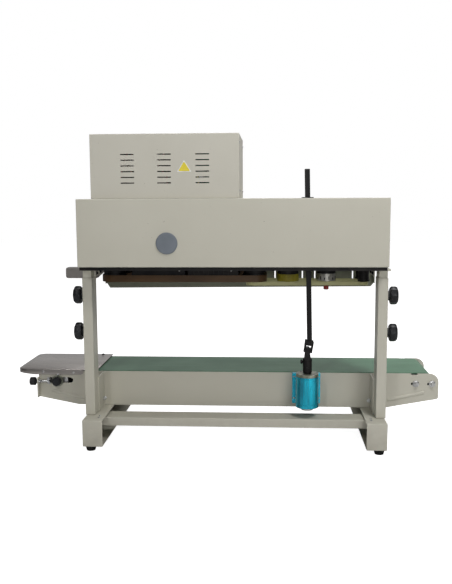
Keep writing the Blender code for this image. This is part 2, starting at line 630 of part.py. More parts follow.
def make_case():
    """The long painted cover, open below, with a round hole for its plug."""
    case = block("case_cover", (CASE_LEFT, CASE_REAR, CASE_BOTTOM), (CASE_RIGHT, CASE_FRONT, CASE_TOP), BEIGE)
    add_bevel(case, 0.0012)
    cut(case, block("case_hollow", (CASE_LEFT + SHEET, CASE_REAR + SHEET, CASE_BOTTOM - 0.01),
                    (CASE_RIGHT - SHEET, CASE_FRONT - SHEET, CASE_TOP - SHEET)))
    plug = (PLUG_X, CASE_REAR, PLUG_Z)
    cut(case, rod("case_plug_hole", 0.0175, -0.01, 0.01, origin=plug, axis="Y"),
        rod("case_shaft_hole", 0.0105, 0.47, 0.52, origin=(shaft_x(CASE_TOP), SHAFT_Y, 0)))
    turned("cover_plug", [(0, 0.0120), (0.0168, 0.0120), (0.0168, -GAP), (0.0204, -GAP), (0.0204, -0.0016),
                          (0.0192, -0.0026), (0, -0.0030)], GREY, plug, "Y", steps=36)


def make_control_box():
    """The control box on top of the case, with louvre slots at the rear and openings at the front."""
    bottom = CASE_TOP + GAP
    box = block("control_box", (BOX_LEFT, BOX_REAR, bottom), (BOX_RIGHT, BOX_FRONT, BOX_TOP), LIGHT)
    add_bevel(box, 0.0012)
    cut(box, block("control_box_hollow", (BOX_LEFT + SHEET, BOX_REAR + SHEET, bottom - 0.01),
                   (BOX_RIGHT - SHEET, BOX_FRONT - SHEET, BOX_TOP - SHEET)))
    for column in VENT_COLUMNS:
        for row in range(VENT_ROWS):
            cut(box, panel_block(f"vent_{column}_{row}", column, VENT_TOP - VENT_STEP * row,
                                 VENT_HALF_WIDTH, VENT_HALF_HEIGHT, BOX_REAR - 0.01, BOX_REAR + 0.01))
    cut(box, panel_block("controller_hole", CONTROLLER_X, CONTROLLER_Z, 0.0225, 0.0225,
                         BOX_FRONT - 0.01, BOX_FRONT + 0.01),
        panel_block("switch_hole", SWITCH_X, SWITCH_Z, 0.0095, 0.0145, BOX_FRONT - 0.01, BOX_FRONT + 0.01),
        rod("speed_hole", 0.0043, -0.01, 0.01, origin=(SPEED_X, BOX_FRONT, SPEED_Z), axis="Y"))
    make_controller()
    make_speed_knob()
    make_power_switch()


def panel_block(name, x, z, half_width, half_height, back, front, look=None, bevel=0.0):
    """A block centred on a place of the control box's front or rear panel."""
    return block(name, (x - half_width, back, z - half_height), (x + half_width, front, z + half_height),
                 look, bevel=bevel)


def make_controller():
    front = BOX_FRONT + GAP
    body = panel_block("temperature_controller", CONTROLLER_X, CONTROLLER_Z, 0.0220, 0.0220,
                       BOX_FRONT - 0.0600, front + 0.0010, BLACK_PLASTIC)
    join(body, panel_block("controller_bezel", CONTROLLER_X, CONTROLLER_Z, 0.0240, 0.0240,
                           front, front + 0.0050, bevel=0.0008))


def make_speed_knob():
    stem = 0.0040
    profile = [(0, 0.0200), (0.0105, 0.0200), (0.0125, 0.0180), (0.0135, 0.0015), (stem, 0.0015),
               (stem, -0.0080), (0, -0.0080)]
    turned("speed_knob", profile, BLACK_PLASTIC, (SPEED_X, BOX_FRONT, SPEED_Z), "Y", steps=28)


def make_power_switch():
    """A rocker switch: its lever tips about a level axis in the panel."""
    outline = [(-0.0042, -0.0120), (0.0022, -0.0120), (0.0048, -0.0060), (0.0030, 0.0), (0.0048, 0.0060),
               (0.0022, 0.0120), (-0.0042, 0.0120)]
    outline = [(BOX_FRONT + y, SWITCH_Z + z) for y, z in outline]
    left, right = SWITCH_X - 0.0085, SWITCH_X + 0.0085
    prism("power_switch", outline, "X", left, right, RED, (SWITCH_X, BOX_FRONT, SWITCH_Z))


def make_guard():
    """The slotted sheet in front of the wheels, with an end flange at each end."""
    top = PLATE_BOTTOM - GAP
    outline = [(GUARD_LEFT, top), (GUARD_LEFT, 0.3105), (GUARD_LEFT + 0.0060, 0.3010),
               (GUARD_RIGHT - 0.0060, 0.3052), (GUARD_RIGHT, 0.3125), (GUARD_RIGHT, top)]
    guard = prism("front_guard", outline, "Y", GUARD_Y, GUARD_Y + SHEET, DARK_GREEN)
    depth = 0.0200
    for side, x in (("left", GUARD_LEFT), ("right", GUARD_RIGHT - SHEET)):
        low = 0.3125 if side == "left" else 0.3145
        join(guard, block(f"guard_flange_{side}", (x, GUARD_Y - depth, low),
                          (x + SHEET, GUARD_Y + SHEET, top)))
    join(guard, block("guard_top_flange", (GUARD_LEFT, GUARD_Y - 0.012, top - SHEET),
                      (GUARD_RIGHT, GUARD_Y + SHEET, top)))
    for x in (0.0427, 0.1027, 0.1630, 0.1904, 0.2732):
        cut(guard, block(f"guard_slot_{x}", (x - 0.0014, GUARD_Y - 0.003, 0.3200),
                         (x + 0.0014, GUARD_Y + 0.01, 0.3560)))


def make_entry_guide():
    """Two film plates joined along their top: the bag's mouth enters between them."""
    outline = [(-0.3463, 0.3540), (-0.3463, 0.3306), (-0.2790, 0.3306), (-0.2763, 0.3335), (-0.2610, 0.3470),
               (-0.2600, 0.3540)]
    outline = rounded(outline, [0.005, 0.005, 0.001, 0.001, 0.002, 0.001])
    rear, front = BAG_PLANE - 0.0070, BAG_PLANE + 0.0070
    guide = prism("entry_guide", outline, "Y", rear, front, STAINLESS)
    cut(guide, block("entry_guide_slot", (-0.36, rear + 0.0014, 0.32), (-0.25, front - 0.0014, 0.3525)))
    join(guide, block("entry_guide_mount", (-0.2740, rear + 0.0010, 0.3530),
                      (-0.2620, front - 0.0010, PLATE_BOTTOM - GAP)))


# ---------- sealing head: working parts ----------

def wheel_profile(rim, bottom, top, hub, guide=None):
    """A wheel under the plate, its shaft through the plate and its gear above it, from top to bottom."""
    profile = gear_profile(min(0.0254, rim + 0.0005))
    shoulder = top + 0.0012
    profile += [(0.0060, BLOCK_TOP), (hub, BLOCK_TOP), (hub, shoulder), (rim, shoulder), (rim, bottom)]
    if guide:
        profile += [(guide, bottom), (guide, GUIDE_BOTTOM - 0.0005), (guide - 0.006, GUIDE_BOTTOM - 0.0005)]
        profile += [(guide - 0.006, GUIDE_BOTTOM - 0.0015), (0, GUIDE_BOTTOM - 0.0015)]
    else:
        profile += [(0.0070, bottom), (0.0070, bottom - 0.0020), (0, bottom - 0.0020)]
    return profile


def gear_profile(gear):
    """The end of a spindle and the gear on it, above the base plate."""
    return [(0, SPINDLE_TOP), (SPINDLE_RADIUS, SPINDLE_TOP), (SPINDLE_RADIUS, GEAR_TOP), (gear, GEAR_TOP),
            (gear, GEAR_BOTTOM), (0.0060, GEAR_BOTTOM)]


def make_wheels():
    for name, side, x, y in wheel_stations():
        if name.startswith("seal_wheel"):
            guide = GUIDE_WHEEL_RADIUS if "exit" in name else None
            profile = wheel_profile(SEAL_WHEEL_RADIUS, SEAL_BOTTOM, SEAL_TOP, SEAL_HUB_RADIUS, guide)
            turned(name, profile, BLACK_STEEL, (x, y, 0), steps=24)
        elif name.startswith("press_wheel"):
            profile = wheel_profile(PRESS_RADIUS - GAP, 0.3280, SEAL_TOP, 0.0215)
            turned(name, profile, YELLOW, (x, y, 0), steps=24)
        elif name.startswith("coding_wheel"):
            profile = wheel_profile(CODING_RADIUS - GAP, 0.3285, 0.3425, 0.0150)
            turned(name, profile, ALUMINIUM, (x, y, 0), steps=24)
        else:
            turned(name, exit_pulley_profile(), BLACK_STEEL, (x, y, 0), steps=20)


def exit_pulley_profile():
    """The small pulley at the exit end, with a flange above its guide belt."""
    profile = gear_profile(0.0180)
    profile += [(0.0060, 0.3600), (EXIT_RADIUS, 0.3600), (EXIT_RADIUS, 0.3310), (0.0125, 0.3310),
                (0.0125, SEAL_BOTTOM), (GUIDE_EXIT_RADIUS, SEAL_BOTTOM)]
    profile += [(GUIDE_EXIT_RADIUS, GUIDE_BOTTOM - 0.0005), (0.0050, GUIDE_BOTTOM - 0.0005),
                (0.0050, GUIDE_BOTTOM - 0.0015), (0, GUIDE_BOTTOM - 0.0015)]
    return profile


def make_head_belts():
    for side, y in STATION_Y.items():
        wheels = [(SEAL_LEFT_X, y, SEAL_WHEEL_RADIUS, 1), (SEAL_RIGHT_X, y, SEAL_WHEEL_RADIUS, 1)]
        belt(f"seal_belt_{side}", wheels, SEAL_THICKNESS, "Z", SEAL_BOTTOM, SEAL_TOP, SEAL_BELT)
        pulleys = [(SEAL_RIGHT_X, y, GUIDE_WHEEL_RADIUS, 1), (EXIT_X, y, GUIDE_EXIT_RADIUS, 1)]
        belt(f"guide_belt_{side}", pulleys, GUIDE_THICKNESS, "Z", GUIDE_BOTTOM, GUIDE_TOP, GUIDE_BELT)


def make_seal_blocks():
    """Heated and cooled bars that press the belts together, each hung from the plate on two studs."""
    for side, y in STATION_Y.items():
        half = 0.0225
        for name, low, high in (("heating_block", -0.1960, -0.0840), ("cooling_block", -0.0790, 0.0270)):
            bar = block(f"{name}_{side}", (low, y - half, 0.3285), (high, y + half, BLOCK_TOP), BLACK_STEEL)
            add_bevel(bar, 0.0010, 1)
            for end, x in (("a", low + 0.018), ("b", high - 0.018)):
                join(bar, rod(f"{name}_{side}_stud_{end}", 0.0040, BLOCK_TOP - 0.0065, PLATE_BOTTOM - GAP,
                              origin=(x, y, 0), steps=16))


def make_motor_and_sleeve():
    """The motor in the case, and the sleeve that turns with the square shaft."""
    y, z = -0.1100, 0.4160
    motor = turned("drive_motor", [(0, 0.0750), (0.0360, 0.0750), (0.0380, 0.0730), (0.0380, -0.0450),
                                   (0, -0.0450)], BLACK_STEEL, (-0.0200, y, z), "X", steps=32)
    join(motor, block("motor_gearbox", (0.0540, y - 0.0380, PLATE_TOP + GAP), (0.1080, y + 0.0380, 0.4560)))
    join(motor, block("motor_foot", (-0.0600, y - 0.0300, PLATE_TOP + GAP), (0.0560, y + 0.0300, 0.3900)))
    foot = 0.3720
    axis_x = shaft_x(foot)
    sleeve = turned("drive_sleeve", [(0, 0.0260), (0.0125, 0.0260), (0.0125, 0.0090), (0.0240, 0.0090),
                                     (0.0240, 0.0030), (0.0125, 0.0030), (0.0125, 0.0), (0, 0.0)],
                    STEEL, (axis_x, SHAFT_Y, foot), steps=32)
    sleeve.rotation_euler = (0, SHAFT_LEAN, 0)
    half = SHAFT_SIDE / 2 + 0.0018
    bore = block("sleeve_bore", (-half, -half, -0.02), (half, half, 0.05))
    bore.location = (axis_x, SHAFT_Y, foot)
    bore.rotation_euler = (0, SHAFT_LEAN, 0)
    for vertex in bore.data.vertices:
        vertex.co.z += 0.015
    cut(sleeve, bore)


def make_pressure_knob():
    """The red knob under the guard side that sets the press wheel's pressure."""
    profile = [(0, 0.0660), (0.0035, 0.0660), (0.0035, 0.0080), (0.0055, 0.0070), (0.0058, 0.0015),
               (0.0045, 0.0), (0, 0.0)]
    turned("pressure_knob", profile, RED, (PRESSURE_X, PRESSURE_Y, 0.3005), steps=24)


def centre_footprint():
    bpy.context.view_layer.update()
    for obj in list(PARTS.objects) + list(TOOLS.objects):
        obj.location.x += FOOTPRINT_SHIFT


def smooth_all():
    """Smooth shading with sharp edges kept, on every visible piece."""
    for obj in PARTS.objects:
        obj.data.shade_smooth()
        obj.data.set_sharp_from_angle(angle=math.radians(35))


for each_side in SIDES:
    make_foot(each_side)
    make_post(each_side)
    make_inner_post(each_side)
    for each_level in CLAMP_HEIGHTS:
        make_clamp_knob(each_side, each_level)
make_crossbar()
make_conveyor_frame()
make_conveyor_belt()
make_rollers()
make_entry_table()
make_entry_adjusters()
make_gearbox()
make_coupling()
make_joint_link()
make_drive_shaft()
make_base_plate()
make_case()
make_control_box()
make_guard()
make_entry_guide()
make_wheels()
make_head_belts()
make_seal_blocks()
make_motor_and_sleeve()
make_pressure_knob()
centre_footprint()
smooth_all()
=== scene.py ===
"""Continuous band sealer: finishes, fittings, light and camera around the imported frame.

Metres, +Z up. X runs along the conveyor, and -Y is the rear of the machine, which the camera sees.
"""

import json
import math

import bmesh
import bpy
from mathutils import Matrix, Vector

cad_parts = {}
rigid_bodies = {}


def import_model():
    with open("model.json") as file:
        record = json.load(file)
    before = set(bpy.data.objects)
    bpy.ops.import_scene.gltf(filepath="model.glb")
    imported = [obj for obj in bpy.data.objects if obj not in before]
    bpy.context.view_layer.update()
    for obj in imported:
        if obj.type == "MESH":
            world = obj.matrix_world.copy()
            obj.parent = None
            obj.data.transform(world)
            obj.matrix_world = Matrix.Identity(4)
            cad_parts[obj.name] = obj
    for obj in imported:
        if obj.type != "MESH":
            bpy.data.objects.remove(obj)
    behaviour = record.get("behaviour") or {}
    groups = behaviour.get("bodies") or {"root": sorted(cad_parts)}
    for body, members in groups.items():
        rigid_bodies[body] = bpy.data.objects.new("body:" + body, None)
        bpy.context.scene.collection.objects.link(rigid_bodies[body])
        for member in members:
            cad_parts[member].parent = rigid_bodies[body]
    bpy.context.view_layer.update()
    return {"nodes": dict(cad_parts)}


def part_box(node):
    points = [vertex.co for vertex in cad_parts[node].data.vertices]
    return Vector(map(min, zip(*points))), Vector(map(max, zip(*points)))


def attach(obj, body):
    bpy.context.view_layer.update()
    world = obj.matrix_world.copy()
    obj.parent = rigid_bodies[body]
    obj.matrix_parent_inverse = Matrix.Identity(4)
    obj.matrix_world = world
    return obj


for startup_object in list(bpy.data.objects):
    bpy.data.objects.remove(startup_object)

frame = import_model()
NODES = frame["nodes"]

X, Y, Z = Vector((1, 0, 0)), Vector((0, 1, 0)), Vector((0, 0, 1))
SHARP_ANGLE = math.radians(35)


# ---------- camera, floor and light ----------

CAMERA_PLACE = Vector((0.09552, -1.62280, 0.50043))
CAMERA_YAW, CAMERA_PITCH, CAMERA_ROLL = (math.radians(a) for a in (3.3995, 7.059, -0.2933))
CAMERA_LENS = 46.876
CAMERA_SENSOR = 36.0

LIGHT_AIM = Vector((0, -0.05, 0.30))
ROOM_LIGHT, BACKDROP_LIGHT = 0.015, 0.60
BACKDROP_START, BACKDROP_FULL = 0.45, 0.95      # how far a ray turns towards +Y
FLOOR_SIZE = 14.0
FLOOR_DROP = 0.0003
FLOOR_GREY = 0.80
FLOOR_GLOW = 0.93


def make_camera():
    data = bpy.data.cameras.new("camera")
    data.sensor_fit = "VERTICAL"
    data.sensor_height = CAMERA_SENSOR
    data.lens = CAMERA_LENS
    camera = bpy.data.objects.new("camera", data)
    bpy.context.scene.collection.objects.link(camera)
    ahead = Vector((-math.sin(CAMERA_YAW) * math.cos(CAMERA_PITCH),
                    math.cos(CAMERA_YAW) * math.cos(CAMERA_PITCH), -math.sin(CAMERA_PITCH)))
    right = Vector((math.cos(CAMERA_YAW), math.sin(CAMERA_YAW), 0))
    up = right.cross(ahead)
    side = right * math.cos(CAMERA_ROLL) + up * math.sin(CAMERA_ROLL)
    top = up * math.cos(CAMERA_ROLL) - right * math.sin(CAMERA_ROLL)
    turn = Matrix((side, top, -ahead)).transposed().to_4x4()
    camera.matrix_world = Matrix.Translation(CAMERA_PLACE) @ turn
    bpy.context.scene.camera = camera


def soft_light(name, azimuth, elevation, distance, width, height, power):
    """An area light aimed at the machine; azimuth 0 is behind it (-Y), 90 is over its exit end (+X)."""
    data = bpy.data.lights.new(name, "AREA")
    data.shape = "RECTANGLE"
    data.size, data.size_y = width, height
    data.energy = power
    light = bpy.data.objects.new(name, data)
    bpy.context.scene.collection.objects.link(light)
    turn, rise = math.radians(azimuth), math.radians(elevation)
    way = Vector((math.sin(turn) * math.cos(rise), -math.cos(turn) * math.cos(rise), math.sin(rise)))
    light.location = LIGHT_AIM + way * distance
    light.rotation_euler = way.to_track_quat("Z", "Y").to_euler()


def make_lights():
    soft_light("key_right", 38, 52, 1.7, 0.30, 0.30, 11)
    soft_light("key_left", -17, 30, 3.0, 0.16, 0.30, 11)
    soft_light("rear_fill", 14, 8, 3.6, 2.4, 1.2, 21)
    soft_light("top_fill", 20, 84, 2.4, 1.6, 1.0, 17)
    soft_light("operator_side", 175, 50, 3.0, 1.6, 1.0, 22)


def make_world():
    """A room with a white backdrop on the operator's side; the camera sees it as plain white all round."""
    world = bpy.data.worlds.new("studio")
    world.use_nodes = True
    bpy.context.scene.world = world
    tree = world.node_tree
    tree.nodes.clear()
    seen = node(tree, "Background", {"Color": (1, 1, 1, 1), "Strength": 1.0})
    depth = node(tree, "SeparateXYZ", {0: node(tree, "TexCoord").outputs["Generated"]}).outputs[1]
    strength = spread(tree, depth, BACKDROP_START, BACKDROP_FULL, ROOM_LIGHT, BACKDROP_LIGHT)
    dim = node(tree, "Background", {"Color": (1, 1, 1, 1), "Strength": strength})
    rays = node(tree, "LightPath")
    both = node(tree, "MixShader", {0: rays.outputs["Is Camera Ray"], 1: dim.outputs[0], 2: seen.outputs[0]})
    out = node(tree, "OutputWorld")
    tree.links.new(both.outputs[0], out.inputs["Surface"])


def make_floor():
    """A pale floor that the camera sees as almost white."""
    bm = bmesh.new()
    bmesh.ops.create_grid(bm, x_segments=1, y_segments=1, size=FLOOR_SIZE / 2)
    mesh = bpy.data.meshes.new("floor")
    bm.to_mesh(mesh)
    bm.free()
    floor = bpy.data.objects.new("floor", mesh)
    floor.location.z = -FLOOR_DROP
    bpy.context.scene.collection.objects.link(floor)
    material, tree, shader = new_material("floor_white")
    shader.inputs["Base Color"].default_value = (FLOOR_GREY, FLOOR_GREY, FLOOR_GREY, 1)
    shader.inputs["Roughness"].default_value = 0.9
    shader.inputs["Emission Color"].default_value = (1, 1, 1, 1)
    rays = node(tree, "LightPath").outputs["Is Camera Ray"]
    glow = node(tree, "Math", {0: rays, 1: FLOOR_GLOW}, operation="MULTIPLY")
    tree.links.new(glow.outputs[0], shader.inputs["Emission Strength"])
    mesh.materials.append(material)


# ---------- finishes ----------

BUMP_DEPTH = 0.0002
COAT_ROUGHNESS = 0.15
SPECK_COLOUR = (0.06, 0.05, 0.035)
SPECK_SCALE, SPECK_START, SPECK_FULL = 240.0, 0.79, 0.83
LOW_DARKENING_COLOUR = (0.16, 0.13, 0.09)
LOW_DARKENING_SCALE, LOW_DARKENING_BOTTOM, LOW_DARKENING_TOP = 60.0, 0.012, 0.070
BRUSHED_X, BRUSHED_Z = (0.03, 1, 1), (1, 1, 0.04)      # stretches that draw the grain out along X or Z


def node(tree, kind, inputs=None, **settings):
    """One shader node. Its kind has no ShaderNode prefix, and an input may be another node's socket."""
    made = tree.nodes.new("ShaderNode" + kind)
    for key, value in settings.items():
        setattr(made, key, value)
    for key, value in (inputs or {}).items():
        if isinstance(value, bpy.types.NodeSocket):
            tree.links.new(value, made.inputs[key])
        else:
            made.inputs[key].default_value = value
    return made


def new_material(name):
    material = bpy.data.materials.new(name)
    material.use_nodes = True
    return material, material.node_tree, material.node_tree.nodes["Principled BSDF"]


def place_of(tree, stretch=(1, 1, 1)):
    """The point on the piece, in its own metres, stretched to draw a pattern out along one way."""
    place = node(tree, "TexCoord").outputs["Object"]
    return node(tree, "Mapping", {"Vector": place, "Scale": stretch}).outputs[0]


def noise(tree, scale, stretch=(1, 1, 1), detail=3.0):
    made = node(tree, "TexNoise", {"Vector": place_of(tree, stretch), "Scale": scale, "Detail": detail})
    return made.outputs["Fac"]


def spread(tree, value, low, high, to_low=0.0, to_high=1.0):
    made = node(tree, "MapRange", {"Value": value, "From Min": low, "From Max": high,
                                   "To Min": to_low, "To Max": to_high})
    return made.outputs[0]


def mixed(tree, factor, first, second):
    """A colour between two, each a tuple or another node's colour."""
    made = node(tree, "Mix", {0: factor}, data_type="RGBA")
    for index, colour in ((6, first), (7, second)):
        if isinstance(colour, bpy.types.NodeSocket):
            tree.links.new(colour, made.inputs[index])
        else:
            made.inputs[index].default_value = (*colour, 1)
    return made.outputs[2]


def bumped(tree, shader, height, strength):
    made = node(tree, "Bump", {"Height": height, "Strength": strength, "Distance": BUMP_DEPTH})
    tree.links.new(made.outputs[0], shader.inputs["Normal"])


def finish(name, dark, light, rough, metallic=0.0, patches=7.0, stretch=(1, 1, 1), grain=700.0,
           grain_stretch=(1, 1, 1), bump=0.15, coat=0.0, specks=0.0, low_darkening=0.0, specular=0.5):
    """A surface with broad colour patches, fine grain in its gloss and relief, specks, and a patchy brown
    darkening towards the bottom.
    """
    material, tree, shader = new_material(name)
    shader.inputs["Metallic"].default_value = metallic
    shader.inputs["Specular IOR Level"].default_value = specular
    shader.inputs["Coat Weight"].default_value = coat
    shader.inputs["Coat Roughness"].default_value = COAT_ROUGHNESS
    colour = mixed(tree, spread(tree, noise(tree, patches, stretch, 5.0), 0.35, 0.65), dark, light)
    if specks:
        dots = spread(tree, noise(tree, SPECK_SCALE, detail=1.0), SPECK_START, SPECK_FULL, 0.0, specks)
        colour = mixed(tree, dots, colour, SPECK_COLOUR)
    # Patchy brown darkening towards the bottom of the piece.
    if low_darkening:
        height = node(tree, "SeparateXYZ", {0: place_of(tree)}).outputs[2]
        low = spread(tree, height, LOW_DARKENING_BOTTOM, LOW_DARKENING_TOP, low_darkening, 0.0)
        patchy = node(tree, "Math", {0: low, 1: noise(tree, LOW_DARKENING_SCALE)}, operation="MULTIPLY").outputs[0]
        colour = mixed(tree, patchy, colour, LOW_DARKENING_COLOUR)
    fine = noise(tree, grain, grain_stretch, 2.0)
    tree.links.new(colour, shader.inputs["Base Color"])
    tree.links.new(spread(tree, fine, 0.3, 0.7, *rough), shader.inputs["Roughness"])
    bumped(tree, shader, fine, bump)
    return material


def woven(name, dark, light, rough, pitch, bump, specular=0.5):
    """A cloth-backed belt: two crossed sets of threads under a coating, with slow colour changes."""
    material, tree, shader = new_material(name)
    shader.inputs["Specular IOR Level"].default_value = specular
    threads = []
    for direction in "XYZ":
        wave = node(tree, "TexWave", {"Vector": place_of(tree), "Scale": 1 / pitch / math.tau},
                    bands_direction=direction)
        threads.append(wave.outputs["Fac"])
    crossed = node(tree, "Math", {0: threads[0], 1: threads[1]}, operation="MULTIPLY").outputs[0]
    relief = node(tree, "Math", {0: crossed, 1: threads[2]}, operation="ADD").outputs[0]
    colour = mixed(tree, spread(tree, noise(tree, 9.0, (1, 1, 4), 5.0), 0.3, 0.7), dark, light)
    worn = spread(tree, noise(tree, 55.0, (0.15, 1, 1), 3.0), 0.55, 0.75, 0.0, 0.25)
    colour = mixed(tree, worn, colour, tuple(min(1.0, c * 1.5) for c in light))
    tree.links.new(colour, shader.inputs["Base Color"])
    tree.links.new(spread(tree, relief, 0.0, 2.0, *rough), shader.inputs["Roughness"])
    bumped(tree, shader, relief, bump)
    return material


def make_painted_looks():
    return {
        "paint": finish("paint", (0.555, 0.535, 0.450), (0.590, 0.570, 0.485), (0.38, 0.50),
                        patches=4.0, grain=900.0, bump=0.10, specks=0.5, low_darkening=0.5, coat=0.06),
        "box_paint": finish("box_paint", (0.575, 0.553, 0.475), (0.605, 0.583, 0.505), (0.40, 0.52),
                            patches=5.0, grain=900.0, bump=0.10, specks=0.4, coat=0.05),
        # The front guard is the same beige paint; this dark olive copy is painted shade, as the guard stands
        # back under the head.
        "guard_paint": finish("guard_paint", (0.19, 0.195, 0.14), (0.25, 0.255, 0.19), (0.42, 0.56),
                              patches=9.0, grain=800.0, bump=0.12, specks=0.6, specular=0.3),
        # A near-black finish with no gloss, used as painted shade: inside the feet, in the exit slots and
        # behind the control box's louvres.
        "painted_shade_black": finish("painted_shade_black", (0.006, 0.006, 0.005), (0.012, 0.011, 0.009), (0.70, 0.85),
                         patches=30.0, grain=700.0, bump=0.2, specular=0.0),
        "blue": finish("blue", (0.002, 0.230, 0.340), (0.010, 0.620, 0.840), (0.20, 0.34), metallic=0.6,
                       patches=95.0, stretch=(1, 1, 0.10), grain=700.0, grain_stretch=BRUSHED_Z, bump=0.12,
                       coat=0.25),
        "label_yellow": finish("label_yellow", (0.74, 0.60, 0.03), (0.84, 0.70, 0.05), (0.30, 0.42),
                               patches=60.0, grain=1500.0, bump=0.05, coat=0.3),
        "label_white": finish("label_white", (0.74, 0.74, 0.72), (0.84, 0.84, 0.82), (0.35, 0.48),
                              patches=60.0, grain=1500.0, bump=0.05),
    }


def make_metal_looks():
    return {
        "black_steel": finish("black_steel", (0.008, 0.008, 0.009), (0.020, 0.018, 0.017), (0.34, 0.50),
                              metallic=0.4, patches=28.0, grain=500.0, bump=0.15, specular=0.25),
        "black_shaft": finish("black_shaft", (0.006, 0.006, 0.007), (0.018, 0.017, 0.017), (0.32, 0.46),
                              metallic=0.4, patches=30.0, stretch=BRUSHED_Z, grain=600.0,
                              grain_stretch=BRUSHED_Z, bump=0.2, specular=0.25),
        "steel": finish("steel", (0.42, 0.42, 0.42), (0.62, 0.62, 0.61), (0.22, 0.38), metallic=1.0,
                        patches=60.0, grain=900.0, grain_stretch=BRUSHED_Z, bump=0.15),
        "zinc": finish("zinc", (0.45, 0.46, 0.47), (0.70, 0.71, 0.72), (0.20, 0.34), metallic=1.0,
                       patches=300.0, grain=1200.0, bump=0.12),
        "gear_steel": finish("gear_steel", (0.20, 0.21, 0.16), (0.40, 0.42, 0.34), (0.30, 0.45),
                             metallic=0.7, patches=110.0, grain=900.0, bump=0.2),
        "stainless": finish("stainless", (0.30, 0.275, 0.26), (0.40, 0.375, 0.355), (0.26, 0.42),
                            metallic=0.85, patches=16.0, stretch=(0.3, 1, 1), grain=420.0,
                            grain_stretch=BRUSHED_X, bump=0.25, specks=0.3),
        "aluminium": finish("aluminium", (0.35, 0.34, 0.30), (0.52, 0.51, 0.48), (0.28, 0.42),
                            metallic=0.9, patches=80.0, grain=1000.0, grain_stretch=BRUSHED_Z, bump=0.15),
        "copper": finish("copper", (0.35, 0.14, 0.06), (0.50, 0.22, 0.10), (0.25, 0.40), metallic=0.9,
                         patches=120.0, grain=900.0, bump=0.15),
    }


def make_plastic_looks():
    return {
        "black_plastic": finish("black_plastic", (0.010, 0.011, 0.013), (0.018, 0.019, 0.022), (0.32, 0.46),
                                patches=40.0, grain=1500.0, bump=0.12, specular=0.3),
        "grey_plastic": finish("grey_plastic", (0.150, 0.172, 0.200), (0.175, 0.198, 0.228), (0.42, 0.56),
                               patches=30.0, grain=1400.0, bump=0.12),
        "red_plastic": finish("red_plastic", (0.30, 0.012, 0.014), (0.40, 0.020, 0.022), (0.25, 0.38),
                              patches=60.0, grain=1400.0, bump=0.08, coat=0.3),
        "screen": finish("screen", (0.006, 0.006, 0.008), (0.012, 0.011, 0.014), (0.10, 0.16),
                         patches=30.0, grain=900.0, bump=0.02, coat=0.6),
        "board_green": finish("board_green", (0.010, 0.060, 0.030), (0.020, 0.110, 0.055), (0.35, 0.50),
                              patches=120.0, grain=1200.0, bump=0.2),
    }


def make_belt_and_rubber_looks():
    return {
        "rubber": finish("rubber", (0.007, 0.007, 0.007), (0.014, 0.014, 0.013), (0.65, 0.85),
                         patches=60.0, grain=900.0, bump=0.3, specular=0.2),
        "yellow_rubber": finish("yellow_rubber", (0.20, 0.165, 0.004), (0.34, 0.29, 0.008), (0.42, 0.58),
                                patches=50.0, grain=900.0, bump=0.2),
        "green_belt": woven("green_belt", (0.115, 0.235, 0.150), (0.165, 0.310, 0.205), (0.42, 0.55),
                            0.0012, 0.06, specular=0.22),
        "seal_belt": woven("seal_belt", (0.060, 0.030, 0.011), (0.110, 0.058, 0.022), (0.35, 0.50),
                           0.0008, 0.10, specular=0.3),
        "guide_belt": woven("guide_belt", (0.44, 0.43, 0.20), (0.56, 0.54, 0.27), (0.40, 0.55),
                            0.0015, 0.08),
    }


NODE_LOOKS = {
    "paint": ["foot_", "crossbar", "post_", "conveyor_panel_", "case_cover", "inner_post_", "conveyor_bed"],
    "box_paint": ["control_box"],
    "guard_paint": ["front_guard"],
    "rubber": ["pad_"],
    "black_plastic": ["clamp_knob_", "axle_lock_knob", "speed_knob", "temperature_controller",
                      "tension_screw"],
    "black_steel": ["drive_coupling", "joint_link", "base_plate", "heating_block_", "cooling_block_",
                    "drive_motor", "seal_wheel_", "exit_pulley_"],
    "black_shaft": ["drive_shaft"],
    "steel": ["entry_roller", "exit_roller", "drive_roller", "drive_sleeve"],
    "gear_steel": ["gearbox_cover"],
    "stainless": ["entry_table", "entry_guide"],
    "aluminium": ["coding_wheel_"],
    "blue": ["gearbox_body"],
    "green_belt": ["conveyor_belt"],
    "seal_belt": ["seal_belt_"],
    "guide_belt": ["guide_belt_"],
    "yellow_rubber": ["press_wheel_"],
    "grey_plastic": ["cover_plug"],
    "red_plastic": ["power_switch", "pressure_knob"],
}
ROUND_NODES = ("pad_", "clamp_knob_", "axle_lock_knob", "speed_knob", "tension_screw", "drive_coupling",
               "seal_wheel_", "exit_pulley_", "press_wheel_", "coding_wheel_", "entry_roller",
               "exit_roller", "drive_roller", "drive_sleeve", "gearbox_", "cover_plug", "conveyor_belt",
               "seal_belt_", "guide_belt_", "pressure_knob", "drive_motor", "entry_table", "entry_guide",
               "conveyor_panel_", "power_switch")
LOOKS = {**make_painted_looks(), **make_metal_looks(), **make_plastic_looks(),
         **make_belt_and_rubber_looks()}
WELD_DISTANCE = 1e-6


def dress_nodes():
    """Gives each CAD node its finish, and smooth shading to the round ones."""
    for name, obj in NODES.items():
        look = next(look for look, starts in NODE_LOOKS.items() if name.startswith(tuple(starts)))
        for slot in obj.material_slots:
            slot.material = LOOKS[look]
        if name.startswith(ROUND_NODES):
            smooth_round(obj)


def smooth_round(obj):
    """Only the shading changes: faces that meet at a small angle share their normals."""
    mesh = obj.data
    if mesh.has_custom_normals:
        mesh.attributes.remove(mesh.attributes["custom_normal"])
    mesh.shade_smooth()
    weld = obj.modifiers.new("weld", "WELD")
    weld.merge_threshold = WELD_DISTANCE
    split = obj.modifiers.new("sharp_edges", "EDGE_SPLIT")
    split.split_angle = SHARP_ANGLE


# ---------- piece building ----------

WASHER_THICKNESS = 0.0011
THREAD_STEP = 0.0005


